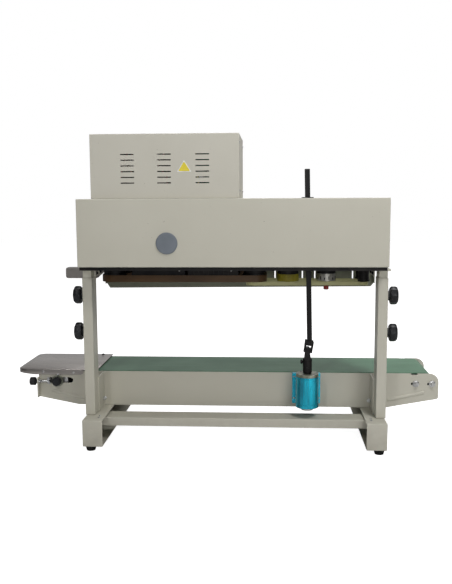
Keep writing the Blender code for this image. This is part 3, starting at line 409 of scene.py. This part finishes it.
def piece(name, bm, look, body):
    """Turns a finished bmesh into a piece that rides on a body."""
    bmesh.ops.recalc_face_normals(bm, faces=bm.faces)
    mesh = bpy.data.meshes.new(name)
    bm.to_mesh(mesh)
    bm.free()
    mesh.shade_smooth()
    mesh.set_sharp_from_angle(angle=SHARP_ANGLE)
    mesh.materials.append(LOOKS[look])
    obj = bpy.data.objects.new(name, mesh)
    bpy.context.scene.collection.objects.link(obj)
    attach(obj, body)
    return obj


def add_turned(bm, sections, at, along, around=28):
    """A solid turned about a line: each section is (radius, height) or (corner radius, height, sides)."""
    turn = along.to_track_quat("Z", "Y").to_matrix()
    rings = []
    for section in sections:
        radius, height = section[:2]
        sides = section[2] if len(section) > 2 else 0
        ring = []
        for i in range(around):
            angle = math.tau * i / around
            reach = radius
            if sides:
                wedge = math.tau / sides
                reach = radius * math.cos(wedge / 2) / math.cos(angle % wedge - wedge / 2)
            point = Vector((reach * math.cos(angle), reach * math.sin(angle), height))
            ring.append(bm.verts.new(at + turn @ point))
        rings.append(ring)
    for first, second in zip(rings, rings[1:]):
        for i in range(around):
            j = (i + 1) % around
            bm.faces.new((first[i], first[j], second[j], second[i]))
    bm.faces.new(rings[0])
    bm.faces.new(rings[-1])


def add_slab(bm, corner, opposite, bevel=0.0004):
    """A box with rounded edges, between any two opposite corners."""
    low, high = Vector(map(min, corner, opposite)), Vector(map(max, corner, opposite))
    made = bmesh.ops.create_cube(bm, size=1.0)["verts"]
    for vertex in made:
        vertex.co = Vector(low[i] + (vertex.co[i] + 0.5) * (high[i] - low[i]) for i in range(3))
    edges = list({edge for vertex in made for edge in vertex.link_edges})
    bmesh.ops.bevel(bm, geom=edges, offset=bevel, segments=2, affect="EDGES")


def add_plate(bm, outline, normal, thickness):
    """A flat outline of 3-D points, thickened along its normal."""
    face = bm.faces.new([bm.verts.new(point) for point in outline])
    made = bmesh.ops.extrude_face_region(bm, geom=[face])["geom"]
    moved = [item for item in made if isinstance(item, bmesh.types.BMVert)]
    bmesh.ops.translate(bm, verts=moved, vec=normal * thickness)


def add_bead(bm, start, end, half_width, out, height, around=10, across=7):
    """A pressed stiffening rib: a low rounded ridge between two points of a panel, with round ends."""
    ahead = (end - start).normalized()
    side = out.cross(ahead)
    rings = []
    for k in range(across + 1):
        slope = math.pi / 2 * k / across
        reach, rise = half_width * math.cos(slope), height * math.sin(slope)
        ring = []
        for point, first in ((end, -math.pi / 2), (start, math.pi / 2)):
            for i in range(around + 1):
                angle = first + math.pi * i / around
                ring.append(point + reach * (ahead * math.cos(angle) + side * math.sin(angle)) + out * rise)
        rings.append([bm.verts.new(place) for place in ring])
    for first, second in zip(rings, rings[1:]):
        for i in range(len(first)):
            j = (i + 1) % len(first)
            bm.faces.new((first[i], first[j], second[j], second[i]))
    bm.faces.new(rings[0])
    bm.faces.new(rings[-1])


def socket_screw(bm, at, along, radius, height):
    """A domed screw head with a six-sided socket."""
    add_turned(bm, [(radius, -0.0002), (radius, 0.25 * height), (0.86 * radius, 0.72 * height),
                    (0.55 * radius, height), (0.46 * radius, height, 6), (0.42 * radius, 0.35 * height, 6)],
               at, along, around=24)


def hex_bolt(bm, at, along, radius, height, washer=0.0, stud=0.0):
    """A hexagon head on an optional washer, with an optional threaded end standing out."""
    base = 0.0
    if washer:
        base = WASHER_THICKNESS
        add_turned(bm, [(washer, -0.0001), (washer, base - 0.0002), (washer - 0.0003, base)], at, along,
                   around=36)
    sections = [(radius, base - 0.0001, 6), (radius, base + 0.82 * height, 6), (0.90 * radius, base + height)]
    if stud:
        core = 0.52 * radius
        sections.append((core, base + height))
        turns = max(2, round(stud / THREAD_STEP))
        for k in range(turns):
            sections.append((core * (0.90 if k % 2 else 1.0), base + height + stud * (k + 1) / turns))
    add_turned(bm, sections, at, along, around=36)


def wire(name, points, radius, look, body):
    """A round wire through its points."""
    curve = bpy.data.curves.new(name, "CURVE")
    curve.dimensions = "3D"
    curve.bevel_depth = radius
    curve.bevel_resolution = 2
    curve.resolution_u = 5
    curve.use_fill_caps = True
    spline = curve.splines.new("BEZIER")
    spline.bezier_points.add(len(points) - 1)
    for point, place in zip(spline.bezier_points, points):
        point.co = place
        point.handle_left_type = point.handle_right_type = "AUTO"
    curve.materials.append(LOOKS[look])
    obj = bpy.data.objects.new(name, curve)
    bpy.context.scene.collection.objects.link(obj)
    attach(obj, body)


def middle(name):
    """The middle of a CAD node's box."""
    low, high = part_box(name)
    return (low + high) / 2


# ---------- stand ----------

FOOT_WALL, FOOT_SHADE_SHEET = 0.0018, 0.0006
BRACKET_BOLT_Z = 0.0826
BRACKET_SCREW_Z = 0.3540


def make_stand_fittings():
    for side, sign in (("left", -1), ("right", 1)):
        make_foot_shade_sheet(side, sign)
        make_foot_screws(side, sign)
        make_pad_collars(side)
        make_bracket_bolts(side, sign)
        make_bracket_screws(side, sign)
        make_clamp_shims(side, sign)


def inner_face(side, sign):
    """Where the post ends towards the middle of the machine."""
    low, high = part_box(f"post_{side}")
    return high.x if sign < 0 else low.x


def make_foot_shade_sheet(side, sign):
    """A near-black sheet inside the foot's outer wall: painted shade of the foot's dark hollow."""
    low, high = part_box(f"foot_{side}")
    face = low.x + FOOT_WALL if sign < 0 else high.x - FOOT_WALL
    bm = bmesh.new()
    add_slab(bm, (face, low.y + 0.003, low.z + 0.0022),
             (face - sign * FOOT_SHADE_SHEET, high.y - 0.003, high.z - 0.0022), 0.0002)
    piece(f"foot_{side}_lining", bm, "painted_shade_black", "base")


def make_foot_screws(side, sign):
    low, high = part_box(f"foot_{side}")
    top = Vector((inner_face(side, sign) - sign * 0.008, 0, high.z))
    bm = bmesh.new()
    for y in (low.y + 0.022, low.y + 0.034, 0.030, 0.110):
        socket_screw(bm, top + Y * y, Z, 0.0024, 0.0012)
    piece(f"foot_{side}_top_screws", bm, "zinc", "base")


def make_pad_collars(side):
    bm = bmesh.new()
    for end in ("rear", "front"):
        pad = middle(f"pad_{side}_{end}")
        add_turned(bm, [(0.0102, 0.0090), (0.0106, 0.0096), (0.0106, 0.0104), (0.0098, 0.0112)],
                   Vector((pad.x, pad.y, 0)), Z, around=32)
    piece(f"foot_{side}_pad_collars", bm, "rubber", "base")


def make_bracket_bolts(side, sign):
    """The bolts that hold the conveyor's panels beside the post."""
    x = inner_face(side, sign) - sign * 0.0030
    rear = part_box("conveyor_panel_rear")[0].y + 0.0008
    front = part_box("conveyor_panel_front")[1].y - 0.0008
    bm = bmesh.new()
    for y, way in ((rear, -Y), (front, Y)):
        hex_bolt(bm, Vector((x, y, BRACKET_BOLT_Z)), way, 0.0034, 0.0022, washer=0.0042, stud=0.0012)
    piece(f"bracket_bolts_{side}", bm, "zinc", "base")


def make_bracket_screws(side, sign):
    """The screws at the top of the inner post, under the head's plate."""
    low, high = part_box(f"inner_post_{side}")
    x = high.x if sign < 0 else low.x
    bm = bmesh.new()
    for y in (low.y + 0.012, high.y - 0.012):
        hex_bolt(bm, Vector((x, y, BRACKET_SCREW_Z)), X * -sign, 0.0030, 0.0020, washer=0.0040)
    piece(f"bracket_screws_{side}", bm, "black_steel", "head")


def make_clamp_shims(side, sign):
    """A thin washer under each clamp knob."""
    low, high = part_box(f"post_{side}")
    face = low.x if sign < 0 else high.x
    bm = bmesh.new()
    for level in ("lower", "upper"):
        knob = middle(f"clamp_knob_{side}_{level}")
        add_turned(bm, [(0.0118, 0.0), (0.0118, 0.0002), (0.0112, 0.0002), (0.0112, 0.00025)],
                   Vector((face, knob.y, knob.z)), X * sign, 32)
    piece(f"clamp_shims_{side}", bm, "zinc", "base")


# ---------- conveyor ----------

PANEL_SHEET = 0.0020
EXIT_BOLT_OFFSET = 0.0167
EXIT_SLOT_STARTS, EXIT_SLOT_LENGTH = (-0.0262, 0.0070), 0.0045
RIB_ENDS = ((-0.3680, 0.0943, -0.3026, 0.0799), (0.3414, 0.0815, 0.4108, 0.0973))
RIB_HALF_WIDTH, RIB_HEIGHT = 0.0034, 0.0019
TABLE_SCREW_OFFSETS = ((0.0554, 0.0062), (0.1206, 0.0075))
TIE_STARTS, TIE_LENGTH = (-0.20, -0.02, 0.26), 0.018
SPLICE_STARTS, SPLICE_WIDTH, SPLICE_SLANT = (0.2440, 0.2605, 0.3230), 0.0012, 0.0120


def panel_faces():
    """Each panel's outer face, as its Y and the way it faces."""
    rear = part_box("conveyor_panel_rear")[1].y - PANEL_SHEET
    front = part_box("conveyor_panel_front")[0].y + PANEL_SHEET
    return (rear, -1), (front, 1)


def make_conveyor_fittings():
    make_exit_bolts()
    make_exit_slot_shade()
    make_panel_ribs()
    make_table_screws()
    make_axle_lock_fittings()
    make_tension_block()
    make_tension_thread()
    make_belt_guide_tab()
    make_belt_splice()
    make_conveyor_ties()


def make_exit_bolts():
    roller = middle("exit_roller")
    bm = bmesh.new()
    for face, way in panel_faces():
        for offset in (-EXIT_BOLT_OFFSET, EXIT_BOLT_OFFSET):
            hex_bolt(bm, Vector((roller.x + offset, face, roller.z)), Y * way, 0.0050, 0.0036,
                     washer=0.0068, stud=0.0022)
    piece("exit_bolts", bm, "steel", "base")


def make_exit_slot_shade():
    """Near-black plates on each panel's face where the exit bolts' slots open: painted shade of the slots."""
    roller = middle("exit_roller")
    bm = bmesh.new()
    for face, way in panel_faces():
        for start in EXIT_SLOT_STARTS:
            add_slab(bm, (roller.x + start, face, roller.z - 0.0024),
                     (roller.x + start + EXIT_SLOT_LENGTH, face + way * 0.0002, roller.z + 0.0024), 0.00009)
    piece("exit_slot_shade", bm, "painted_shade_black", "base")


def make_panel_ribs():
    bm = bmesh.new()
    for face, way in panel_faces():
        for x0, z0, x1, z1 in RIB_ENDS:
            add_bead(bm, Vector((x0, face, z0)), Vector((x1, face, z1)), RIB_HALF_WIDTH, Y * way, RIB_HEIGHT)
    piece("panel_ribs", bm, "paint", "base")


def make_table_screws():
    low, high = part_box("entry_table")
    bm = bmesh.new()
    for from_end, below in TABLE_SCREW_OFFSETS:
        for y, way in ((low.y, -Y), (high.y, Y)):
            socket_screw(bm, Vector((low.x + from_end, y, high.z - below)), way, 0.0027, 0.0014)
    piece("table_screws", bm, "steel", "base")


def make_axle_lock_fittings():
    """The washer under the entry axle's lock knob, and the nuts round it."""
    knob = middle("axle_lock_knob")
    face = panel_faces()[0][0]
    bm = bmesh.new()
    add_turned(bm, [(0.0122, 0.0001), (0.0122, 0.0012), (0.0118, 0.0015), (0.0046, 0.0015), (0.0046, 0.0001)],
               Vector((knob.x, face, knob.z - 0.0004)), -Y, around=40)
    piece("lock_washer", bm, "gear_steel", "base")

    bm = bmesh.new()
    hex_bolt(bm, Vector((knob.x + 0.0015, face, knob.z + 0.0150)), -Y, 0.0030, 0.0022, stud=0.0030)
    hex_bolt(bm, Vector((knob.x - 0.0191, face, knob.z + 0.0045)), -Y, 0.0034, 0.0030, stud=0.0014)
    hex_bolt(bm, Vector((knob.x - 0.0174, face, knob.z - 0.0040)), -Y, 0.0034, 0.0030, stud=0.0014)
    piece("lock_nuts", bm, "zinc", "base")


def tension_screw_start():
    """Where the tension screw comes out of the panel's end."""
    screw = middle("tension_screw")
    return Vector((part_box("conveyor_panel_rear")[0].x + 0.0024, screw.y, screw.z))


def make_tension_block():
    """The block that the tension screw runs in, with a nut at each end of the thread."""
    start = tension_screw_start()
    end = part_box("tension_screw")[1].x
    face = panel_faces()[0][0]
    bm = bmesh.new()
    for x, length in ((start.x, 0.0026), (end - 0.0072, 0.0042)):
        nut = [(0.0054, 0.0, 6), (0.0054, length, 6), (0.0050, length + 0.0003), (0.0031, length + 0.0003),
               (0.0031, 0.0)]
        add_turned(bm, nut, Vector((x, start.y, start.z)), X, around=36)
    add_slab(bm, (end - 0.0072, start.y - 0.0010, start.z - 0.0060),
             (end - 0.0030, face - 0.0002, start.z + 0.0060), 0.0006)
    piece("tension_block", bm, "zinc", "base")


def make_tension_thread():
    crest, root, pitch = 0.00318, 0.00295, 0.0006
    thread = [(crest if k % 2 else root, 0.0003 + k * pitch) for k in range(40)]
    bm = bmesh.new()
    add_turned(bm, thread, tension_screw_start(), X, around=20)
    piece("tension_thread", bm, "steel", "tension_screw")


def make_belt_guide_tab():
    """The small stop at the front panel where the table meets the belt."""
    table_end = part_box("entry_table")[1].x
    low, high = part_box("conveyor_panel_front")
    bm = bmesh.new()
    add_slab(bm, (table_end - 0.0248, low.y - 0.0035, high.z - 0.0002),
             (table_end - 0.0190, low.y + 0.0015, high.z + 0.0062), 0.0008)
    piece("belt_guide_tab", bm, "black_plastic", "base")


def make_belt_splice():
    """Low slanting seams where the belt's ends are joined."""
    low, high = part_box("conveyor_belt")
    rear, front = low.y + 0.001, high.y - 0.001
    bm = bmesh.new()
    for x in SPLICE_STARTS:
        outline = [Vector((x, rear, high.z)), Vector((x + SPLICE_WIDTH, rear, high.z)),
                   Vector((x + SPLICE_WIDTH + SPLICE_SLANT, front, high.z)),
                   Vector((x + SPLICE_SLANT, front, high.z))]
        add_plate(bm, outline, Z, 0.00018)
    piece("belt_splice", bm, "green_belt", "base")


def make_conveyor_ties():
    """Bars that tie the two panels together low down, with a screw in the middle of each."""
    rear_low, rear_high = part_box("conveyor_panel_rear")
    inner_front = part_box("conveyor_panel_front")[0].y
    bm = bmesh.new()
    for x in TIE_STARTS:
        add_slab(bm, (x, rear_high.y + 0.0003, rear_low.z + 0.004),
                 (x + TIE_LENGTH, inner_front - 0.0003, rear_low.z + 0.0065), 0.0004)
    piece("conveyor_ties", bm, "paint", "base")

    front_face = panel_faces()[1][0]
    bm = bmesh.new()
    for x in TIE_STARTS:
        socket_screw(bm, Vector((x + TIE_LENGTH / 2, front_face, rear_low.z + 0.0052)), Y, 0.0022, 0.0012)
    piece("tie_screws", bm, "zinc", "base")


# ---------- drive ----------

COVER_SCREW_CIRCLE = 0.0193
FLANGE_DEPTH = 0.0090
SIDE_SCREW_Z, REAR_SCREW_Z = 0.1718, 0.1600
SHAFT_LEAN = math.radians(-1.22)


def make_drive_fittings():
    make_gearbox_screws()
    make_gearbox_rings()
    make_coupling_screws()
    make_joint_pins()
    make_shaft_grommet()


def make_gearbox_screws():
    cover = middle("gearbox_cover")
    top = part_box("gearbox_cover")[1].z
    bm = bmesh.new()
    for k in range(6):
        angle = math.radians(60 * k + 10)
        out = Vector((COVER_SCREW_CIRCLE * math.cos(angle), COVER_SCREW_CIRCLE * math.sin(angle), top))
        socket_screw(bm, Vector((cover.x, cover.y, 0)) + out, Z, 0.0020, 0.0014)
    piece("gearbox_cover_screws", bm, "zinc", "base")

    low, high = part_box("gearbox_body")
    bm = bmesh.new()
    for x in (low.x + 0.0034, high.x - 0.0034):
        for z in (low.z + 0.0125, high.z - 0.0110):
            socket_screw(bm, Vector((x, high.y - FLANGE_DEPTH, z)), -Y, 0.0021, 0.0016)
    piece("gearbox_flange_screws", bm, "zinc", "base")


def make_gearbox_rings():
    """The steel cap round the gearbox's lower boss, and two raised rims round its body."""
    cover = middle("gearbox_cover")
    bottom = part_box("gearbox_body")[0].z
    bm = bmesh.new()
    add_turned(bm, [(0.0122, -0.0056), (0.0122, -0.0004), (0.0116, 0.0006), (0.0042, 0.0006, 6),
                    (0.0040, -0.0010, 6)], Vector((cover.x, cover.y, bottom)), -Z, 48)
    piece("gearbox_bottom_cap", bm, "steel", "base")

    bm = bmesh.new()
    for z in (bottom + 0.0120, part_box("gearbox_cover")[0].z - 0.0035):
        rim = [(0.02295, z), (0.02345, z + 0.0004), (0.02345, z + 0.0016), (0.02295, z + 0.0020),
               (0.0225, z + 0.0010)]
        add_turned(bm, rim, Vector((cover.x, cover.y, 0)), Z, 48)
    piece("gearbox_rims", bm, "blue", "base")


def make_coupling_screws():
    """The thumb screw at the coupling's side and the set screw at its rear."""
    coupling = middle("drive_coupling")
    bm = bmesh.new()
    thumb = [(0.0026, 0.0075), (0.0026, 0.0100), (0.0042, 0.0102), (0.0044, 0.0128), (0.0036, 0.0140)]
    add_turned(bm, thumb, Vector((coupling.x, coupling.y, SIDE_SCREW_Z)), -X, 28)
    hex_bolt(bm, Vector((coupling.x, coupling.y - 0.0091, REAR_SCREW_Z)), -Y, 0.0024, 0.0012)
    piece("coupling_screws", bm, "black_steel", "drive_coupling")


def make_joint_pins():
    link = middle("joint_link")
    bm = bmesh.new()
    for rise in (-0.0085, 0.0075):
        for way in (-1, 1):
            at = Vector((link.x + rise * 0.15, link.y + way * 0.0062, link.z + rise))
            add_turned(bm, [(0.0024, 0.0), (0.0024, 0.0008), (0.0018, 0.0012)], at, Y * way, 20)
    piece("joint_pins", bm, "steel", "joint_link")


def make_shaft_grommet():
    """The rubber ring in the cover's top that the leaning shaft comes up through."""
    case_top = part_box("case_cover")[1].z
    shaft = middle("drive_shaft")
    x = shaft.x + math.tan(SHAFT_LEAN) * (case_top - shaft.z)
    bm = bmesh.new()
    add_turned(bm, [(0.0100, -0.0022), (0.0100, 0.0002), (0.0118, 0.0002), (0.0122, 0.0010),
                    (0.0116, 0.0018), (0.0088, 0.0018), (0.0084, 0.0), (0.0084, -0.0022)],
               Vector((x, middle("drive_sleeve").y, case_top)), Z, 40)
    piece("shaft_grommet", bm, "rubber", "head")


# ---------- covers ----------

LABEL_APEX_X, LABEL_APEX_Z = 0.1797, 0.5691
LABEL_HALF_WIDTH, LABEL_HEIGHT = 0.0113, 0.0181
LABEL_CORNER = 0.0016


def make_case_fittings():
    make_side_screws("case_screws", "case_cover", 0.014, 0.018, 0.035, 0.0030, 0.0014)
    make_side_screws("box_screws", "control_box", 0.014, 0.016, 0.020, 0.0026, 0.0013)
    make_plug_rim()
    make_triangle_label()


def make_side_screws(name, cover, above, below, inset, radius, height):
    """Four screws at each end of a cover."""
    low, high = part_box(cover)
    bm = bmesh.new()
    for z in (low.z + above, high.z - below):
        for y in (low.y + inset, high.y - inset):
            socket_screw(bm, Vector((low.x, y, z)), -X, radius, height)
            socket_screw(bm, Vector((high.x, y, z)), X, radius, height)
    piece(name, bm, "zinc", "head")


def make_plug_rim():
    plug = middle("cover_plug")
    bm = bmesh.new()
    add_turned(bm, [(0.0196, 0.0004), (0.0205, 0.0004), (0.0208, 0.0010), (0.0205, 0.0018), (0.0198, 0.0022)],
               Vector((plug.x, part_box("case_cover")[0].y, plug.z)), -Y, 56)
    piece("plug_rim", bm, "grey_plastic", "head")


def make_triangle_label():
    """A blank yellow triangle on a slightly larger white one."""
    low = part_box("control_box")[0]
    apex = Vector((low.x + LABEL_APEX_X, low.y, LABEL_APEX_Z))
    corners = [apex, apex + Vector((LABEL_HALF_WIDTH, 0, -LABEL_HEIGHT)),
               apex + Vector((-LABEL_HALF_WIDTH, 0, -LABEL_HEIGHT))]
    centre = sum(corners, Vector()) / 3
    for name, look, size, depth in (("triangle_label_edge", "label_white", 1.22, 0.00018),
                                    ("triangle_label", "label_yellow", 1.0, 0.00030)):
        outline = rounded_corners([centre + (corner - centre) * size for corner in corners], LABEL_CORNER)
        bm = bmesh.new()
        add_plate(bm, outline, -Y, depth)
        piece(name, bm, look, "head")


def rounded_corners(points, radius, steps=5):
    """The outline with each corner cut back by a short curve."""
    made = []
    count = len(points)
    for i, here in enumerate(points):
        start = here + (points[i - 1] - here).normalized() * radius
        end = here + (points[(i + 1) % count] - here).normalized() * radius
        for k in range(steps + 1):
            t = k / steps
            made.append(start * (1 - t) ** 2 + here * 2 * t * (1 - t) + end * t ** 2)
    return made


# ---------- inside the control box ----------

BOX_BACKING_DEPTH = 0.030
WIRE_RADIUS = 0.0013
WIRE_LOOKS = ("red_plastic", "copper", "label_white", "red_plastic", "board_green", "label_yellow")


def make_box_interior():
    """What shows through the louvres: a mounting plate in painted shade, a circuit board with its parts, and
    wires.
    """
    low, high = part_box("control_box")
    rear = low.y + BOX_BACKING_DEPTH
    make_board(low, high, rear)
    make_terminals(low, rear)
    make_wires(low, rear)


def make_board(low, high, rear):
    # The mounting plate is near-black: painted shade of the inside of the box.
    bm = bmesh.new()
    add_slab(bm, (low.x + 0.012, rear + 0.012, low.z + 0.006),
             (high.x - 0.012, rear + 0.0135, high.z - 0.012), 0.0004)
    piece("box_backing", bm, "painted_shade_black", "head")

    bm = bmesh.new()
    add_slab(bm, (low.x + 0.150, rear + 0.008, low.z + 0.022),
             (low.x + 0.240, rear + 0.0096, low.z + 0.098), 0.0003)
    piece("circuit_board", bm, "board_green", "head")

    bm = bmesh.new()
    for i in range(5):
        at = Vector((low.x + 0.165 + 0.015 * i, rear + 0.008, low.z + 0.042 + 0.012 * (i % 3)))
        add_turned(bm, [(0.0045, 0.0), (0.0048, 0.0006), (0.0048, 0.0105), (0.0042, 0.0115)], at, -Y, 24)
    piece("capacitors", bm, "steel", "head")


def make_terminals(low, rear):
    bm = bmesh.new()
    for i in range(4):
        x = low.x + 0.052 + 0.020 * i
        add_slab(bm, (x, rear - 0.006, low.z + 0.055), (x + 0.015, rear + 0.0118, low.z + 0.078), 0.0008)
    piece("terminal_block", bm, "label_white", "head")


def make_wires(low, rear):
    for i, look in enumerate(WIRE_LOOKS):
        x = low.x + 0.050 + 0.030 * i
        y = rear - 0.008 - 0.002 * (i % 3)
        sway = 0.012 * (-1) ** i
        points = [Vector((x, rear + 0.008, low.z + 0.012)), Vector((x + 0.004, y, low.z + 0.040)),
                  Vector((x + sway, y - 0.003, low.z + 0.068)),
                  Vector((x + 0.020, rear + 0.006, low.z + 0.100))]
        wire(f"box_wire_{i}", points, WIRE_RADIUS, look, "head")


# ---------- the operator's panel ----------

DIGITS, DIGIT_STEP = 3, 0.0092
DIGIT_BARS = ((-0.0026, 0.0, False), (-0.0026, 0.0058, False), (0.0026, 0.0, False), (0.0026, 0.0058, False),
              (0.0, -0.0029, True), (0.0, 0.0029, True), (0.0, 0.0087, True))
DIAL_MARKS, DIAL_SWEEP = 11, 270
SWITCH_HALF_WIDTH, SWITCH_HALF_HEIGHT, SWITCH_FRAME = 0.0095, 0.0145, 0.0020
LAMP_OFFSETS = (0.0285, 0.0515)
LAMP_PROFILE = [(0.0072, 0.0), (0.0072, 0.0016), (0.0060, 0.0022), (0.0056, 0.0042), (0.0040, 0.0060),
                (0.0018, 0.0068)]
PANEL_EDGE = 0.010


def make_control_panel():
    """The operator's side of the control box: display, dial, switch frame and lamps."""
    make_display()
    make_dial()
    make_switch_frame()
    make_panel_lamps()
    make_panel_screws()


def make_display():
    low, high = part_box("temperature_controller")
    face = high.y
    bm = bmesh.new()
    add_slab(bm, (low.x + 0.006, face - 0.0004, low.z + 0.022),
             (high.x - 0.006, face + 0.0004, high.z - 0.007), 0.0003)
    piece("display_window", bm, "screen", "head")

    bm = bmesh.new()
    for digit in range(DIGITS):
        x = high.x - 0.0130 - DIGIT_STEP * digit
        for dx, dz, wide in DIGIT_BARS:
            half_x, half_z = (0.0020, 0.0005) if wide else (0.0005, 0.0022)
            z = low.z + 0.0285 + dz
            add_slab(bm, (x + dx - half_x, face + 0.0003, z - half_z),
                     (x + dx + half_x, face + 0.0006, z + half_z), 0.0001)
    piece("display_digits", bm, "red_plastic", "head")

    bm = bmesh.new()
    for k in range(4):
        x = low.x + 0.0085 + 0.0100 * k
        add_slab(bm, (x, face - 0.0002, low.z + 0.006), (x + 0.0068, face + 0.0008, low.z + 0.0125), 0.0005)
    piece("display_buttons", bm, "grey_plastic", "head")


def make_dial():
    """The plate and marks behind the speed knob, and the knob's own pointer line."""
    dial = middle("speed_knob")
    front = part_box("control_box")[1].y
    bm = bmesh.new()
    add_turned(bm, [(0.0215, 0.0), (0.0215, 0.0004), (0.0210, 0.0006), (0.0150, 0.0006), (0.0150, 0.0)],
               Vector((dial.x, front, dial.z)), Y, 48)
    piece("dial_plate", bm, "screen", "head")

    bm = bmesh.new()
    base = Vector((dial.x, front + 0.0006, dial.z))
    for k in range(DIAL_MARKS):
        angle = math.radians(DIAL_SWEEP * (k / (DIAL_MARKS - 1) - 0.5))
        out = Vector((-math.sin(angle), 0, math.cos(angle)))
        across = Vector((out.z, 0, -out.x)) * 0.0003
        near, far = (0.0170, 0.0202) if k % 5 else (0.0162, 0.0206)
        outline = [base + out * near - across, base + out * far - across,
                   base + out * far + across, base + out * near + across]
        add_plate(bm, outline, Y, 0.0002)
    piece("dial_marks", bm, "label_white", "head")

    knob_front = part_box("speed_knob")[1].y
    bm = bmesh.new()
    add_slab(bm, (dial.x - 0.0006, knob_front - 0.0004, dial.z + 0.0010),
             (dial.x + 0.0006, knob_front + 0.0002, dial.z + 0.0096), 0.0002)
    piece("knob_pointer", bm, "label_white", "speed_knob")


def make_switch_frame():
    switch = middle("power_switch")
    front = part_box("control_box")[1].y
    width, height, edge = SWITCH_HALF_WIDTH, SWITCH_HALF_HEIGHT, SWITCH_FRAME
    bm = bmesh.new()
    for x0, x1, z0, z1 in ((-width - edge, -width, -height - edge, height + edge),
                           (width, width + edge, -height - edge, height + edge),
                           (-width, width, height, height + edge),
                           (-width, width, -height - edge, -height)):
        add_slab(bm, (switch.x + x0, front - 0.0002, switch.z + z0),
                 (switch.x + x1, front + 0.0022, switch.z + z1), 0.0004)
    piece("switch_frame", bm, "black_plastic", "head")


def make_panel_lamps():
    switch = middle("power_switch")
    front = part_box("control_box")[1].y
    bm = bmesh.new()
    for offset in LAMP_OFFSETS:
        add_turned(bm, LAMP_PROFILE, Vector((switch.x + offset, front, switch.z)), Y, 32)
    piece("panel_lamps", bm, "red_plastic", "head")


def make_panel_screws():
    low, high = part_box("control_box")
    bm = bmesh.new()
    for z in (low.z + PANEL_EDGE, high.z - PANEL_EDGE):
        for x in (low.x + PANEL_EDGE, high.x - PANEL_EDGE):
            socket_screw(bm, Vector((x, high.y, z)), Y, 0.0024, 0.0012)
    piece("panel_screws", bm, "zinc", "head")


# ---------- sealing head ----------

SLEEVE_TOP = 0.3572
BLOCK_SCREW_X, BLOCK_SCREW_Z = (-0.0942, 0.0139), 0.3520


def make_head_fittings():
    for side in ("rear", "front"):
        make_coding_pieces(side)
        make_press_bands(side)
        press, coding = middle(f"press_wheel_{side}"), middle(f"coding_wheel_{side}")
        make_sleeve(f"press_hub_{side}", press, 0.0219, 0.3429, f"press_wheel_{side}")
        make_sleeve(f"coding_hub_{side}", coding, 0.0194, 0.3440, f"coding_wheel_{side}")
        make_seal_wheel_band(side)
        make_cooling_fins(side)
    make_block_screws()
    make_guard_screws()


def make_coding_pieces(side):
    """The collar on the coding wheel, and the blank type blocks set in its rim."""
    wheel = f"coding_wheel_{side}"
    centre = middle(wheel)
    centre.z = 0
    bm = bmesh.new()
    add_turned(bm, [(0.0185, 0.3500), (0.0197, 0.3502), (0.0197, 0.3512), (0.0185, 0.3514)], centre, Z, 40)
    piece(f"coding_collar_{side}", bm, "steel", wheel)

    types, half_width = 14, 0.0011
    bm = bmesh.new()
    for k in range(types):
        angle = math.tau * k / types
        out = Vector((math.cos(angle), math.sin(angle), 0))
        across = Vector((-out.y, out.x, 0)) * half_width
        base = centre + out * 0.01965 + Z * 0.3315
        tall = Z * (0.0070 if k % 2 else 0.0045)
        outline = [base - across, base + across, base + across + tall, base - across + tall]
        add_plate(bm, outline, out, 0.00025)
    piece(f"coding_types_{side}", bm, "black_steel", wheel)


def make_press_bands(side):
    """Three shallow raised bands round the rubber of the press wheel."""
    wheel = f"press_wheel_{side}"
    centre = middle(wheel)
    centre.z = 0
    bm = bmesh.new()
    for z in (0.3293, 0.3335, 0.3375):
        band = [(0.0224, z), (0.02262, z + 0.0003), (0.02262, z + 0.0016), (0.0224, z + 0.0019)]
        add_turned(bm, band, centre, Z, 48)
    piece(f"press_bands_{side}", bm, "yellow_rubber", wheel)


def make_sleeve(name, wheel_middle, radius, bottom, body):
    """A blackened collar, in two steps, round the upper part of a wheel."""
    step = bottom + 0.55 * (SLEEVE_TOP - bottom)
    upper = radius - 0.0014
    profile = [(radius - 0.0005, bottom), (radius, bottom + 0.0005), (radius, step), (upper, step + 0.0006),
               (upper, SLEEVE_TOP), (radius - 0.0060, SLEEVE_TOP)]
    bm = bmesh.new()
    add_turned(bm, profile, Vector((wheel_middle.x, wheel_middle.y, 0)), Z, 48)
    piece(name, bm, "black_steel", body)


def make_seal_wheel_band(side):
    wheel = f"seal_wheel_exit_{side}"
    centre = middle(wheel)
    centre.z = 0
    bm = bmesh.new()
    add_turned(bm, [(0.0228, 0.3552), (0.0232, 0.3555), (0.0232, 0.3563), (0.0228, 0.3566)], centre, Z, 48)
    piece(f"seal_wheel_band_{side}", bm, "steel", wheel)


def make_cooling_fins(side):
    low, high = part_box(f"cooling_block_{side}")
    face, depth = (low.y, -0.0016) if side == "rear" else (high.y, 0.0016)
    bm = bmesh.new()
    for k in range(9):
        x = low.x + 0.012 + 0.0102 * k
        add_slab(bm, (x, face, low.z + 0.015), (x + 0.0016, face + depth, high.z - 0.001), 0.0003)
    piece(f"cooling_fins_{side}", bm, "black_steel", "head")


def make_block_screws():
    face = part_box("heating_block_rear")[0].y
    bm = bmesh.new()
    for x in BLOCK_SCREW_X:
        socket_screw(bm, Vector((x, face, BLOCK_SCREW_Z)), -Y, 0.0024, 0.0014)
    piece("block_screws", bm, "steel", "head")


def make_guard_screws():
    low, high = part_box("front_guard")
    bm = bmesh.new()
    for x in (low.x + 0.03, (low.x + high.x) / 2, high.x - 0.03):
        hex_bolt(bm, Vector((x, high.y, high.z - 0.007)), Y, 0.0034, 0.0024, washer=0.0048)
    piece("guard_screws", bm, "zinc", "head")


make_camera()
make_world()
make_lights()
make_floor()
dress_nodes()
make_stand_fittings()
make_conveyor_fittings()
make_drive_fittings()
make_case_fittings()
make_box_interior()
make_control_panel()
make_head_fittings()
bpy.context.scene.view_settings.view_transform = "Standard"
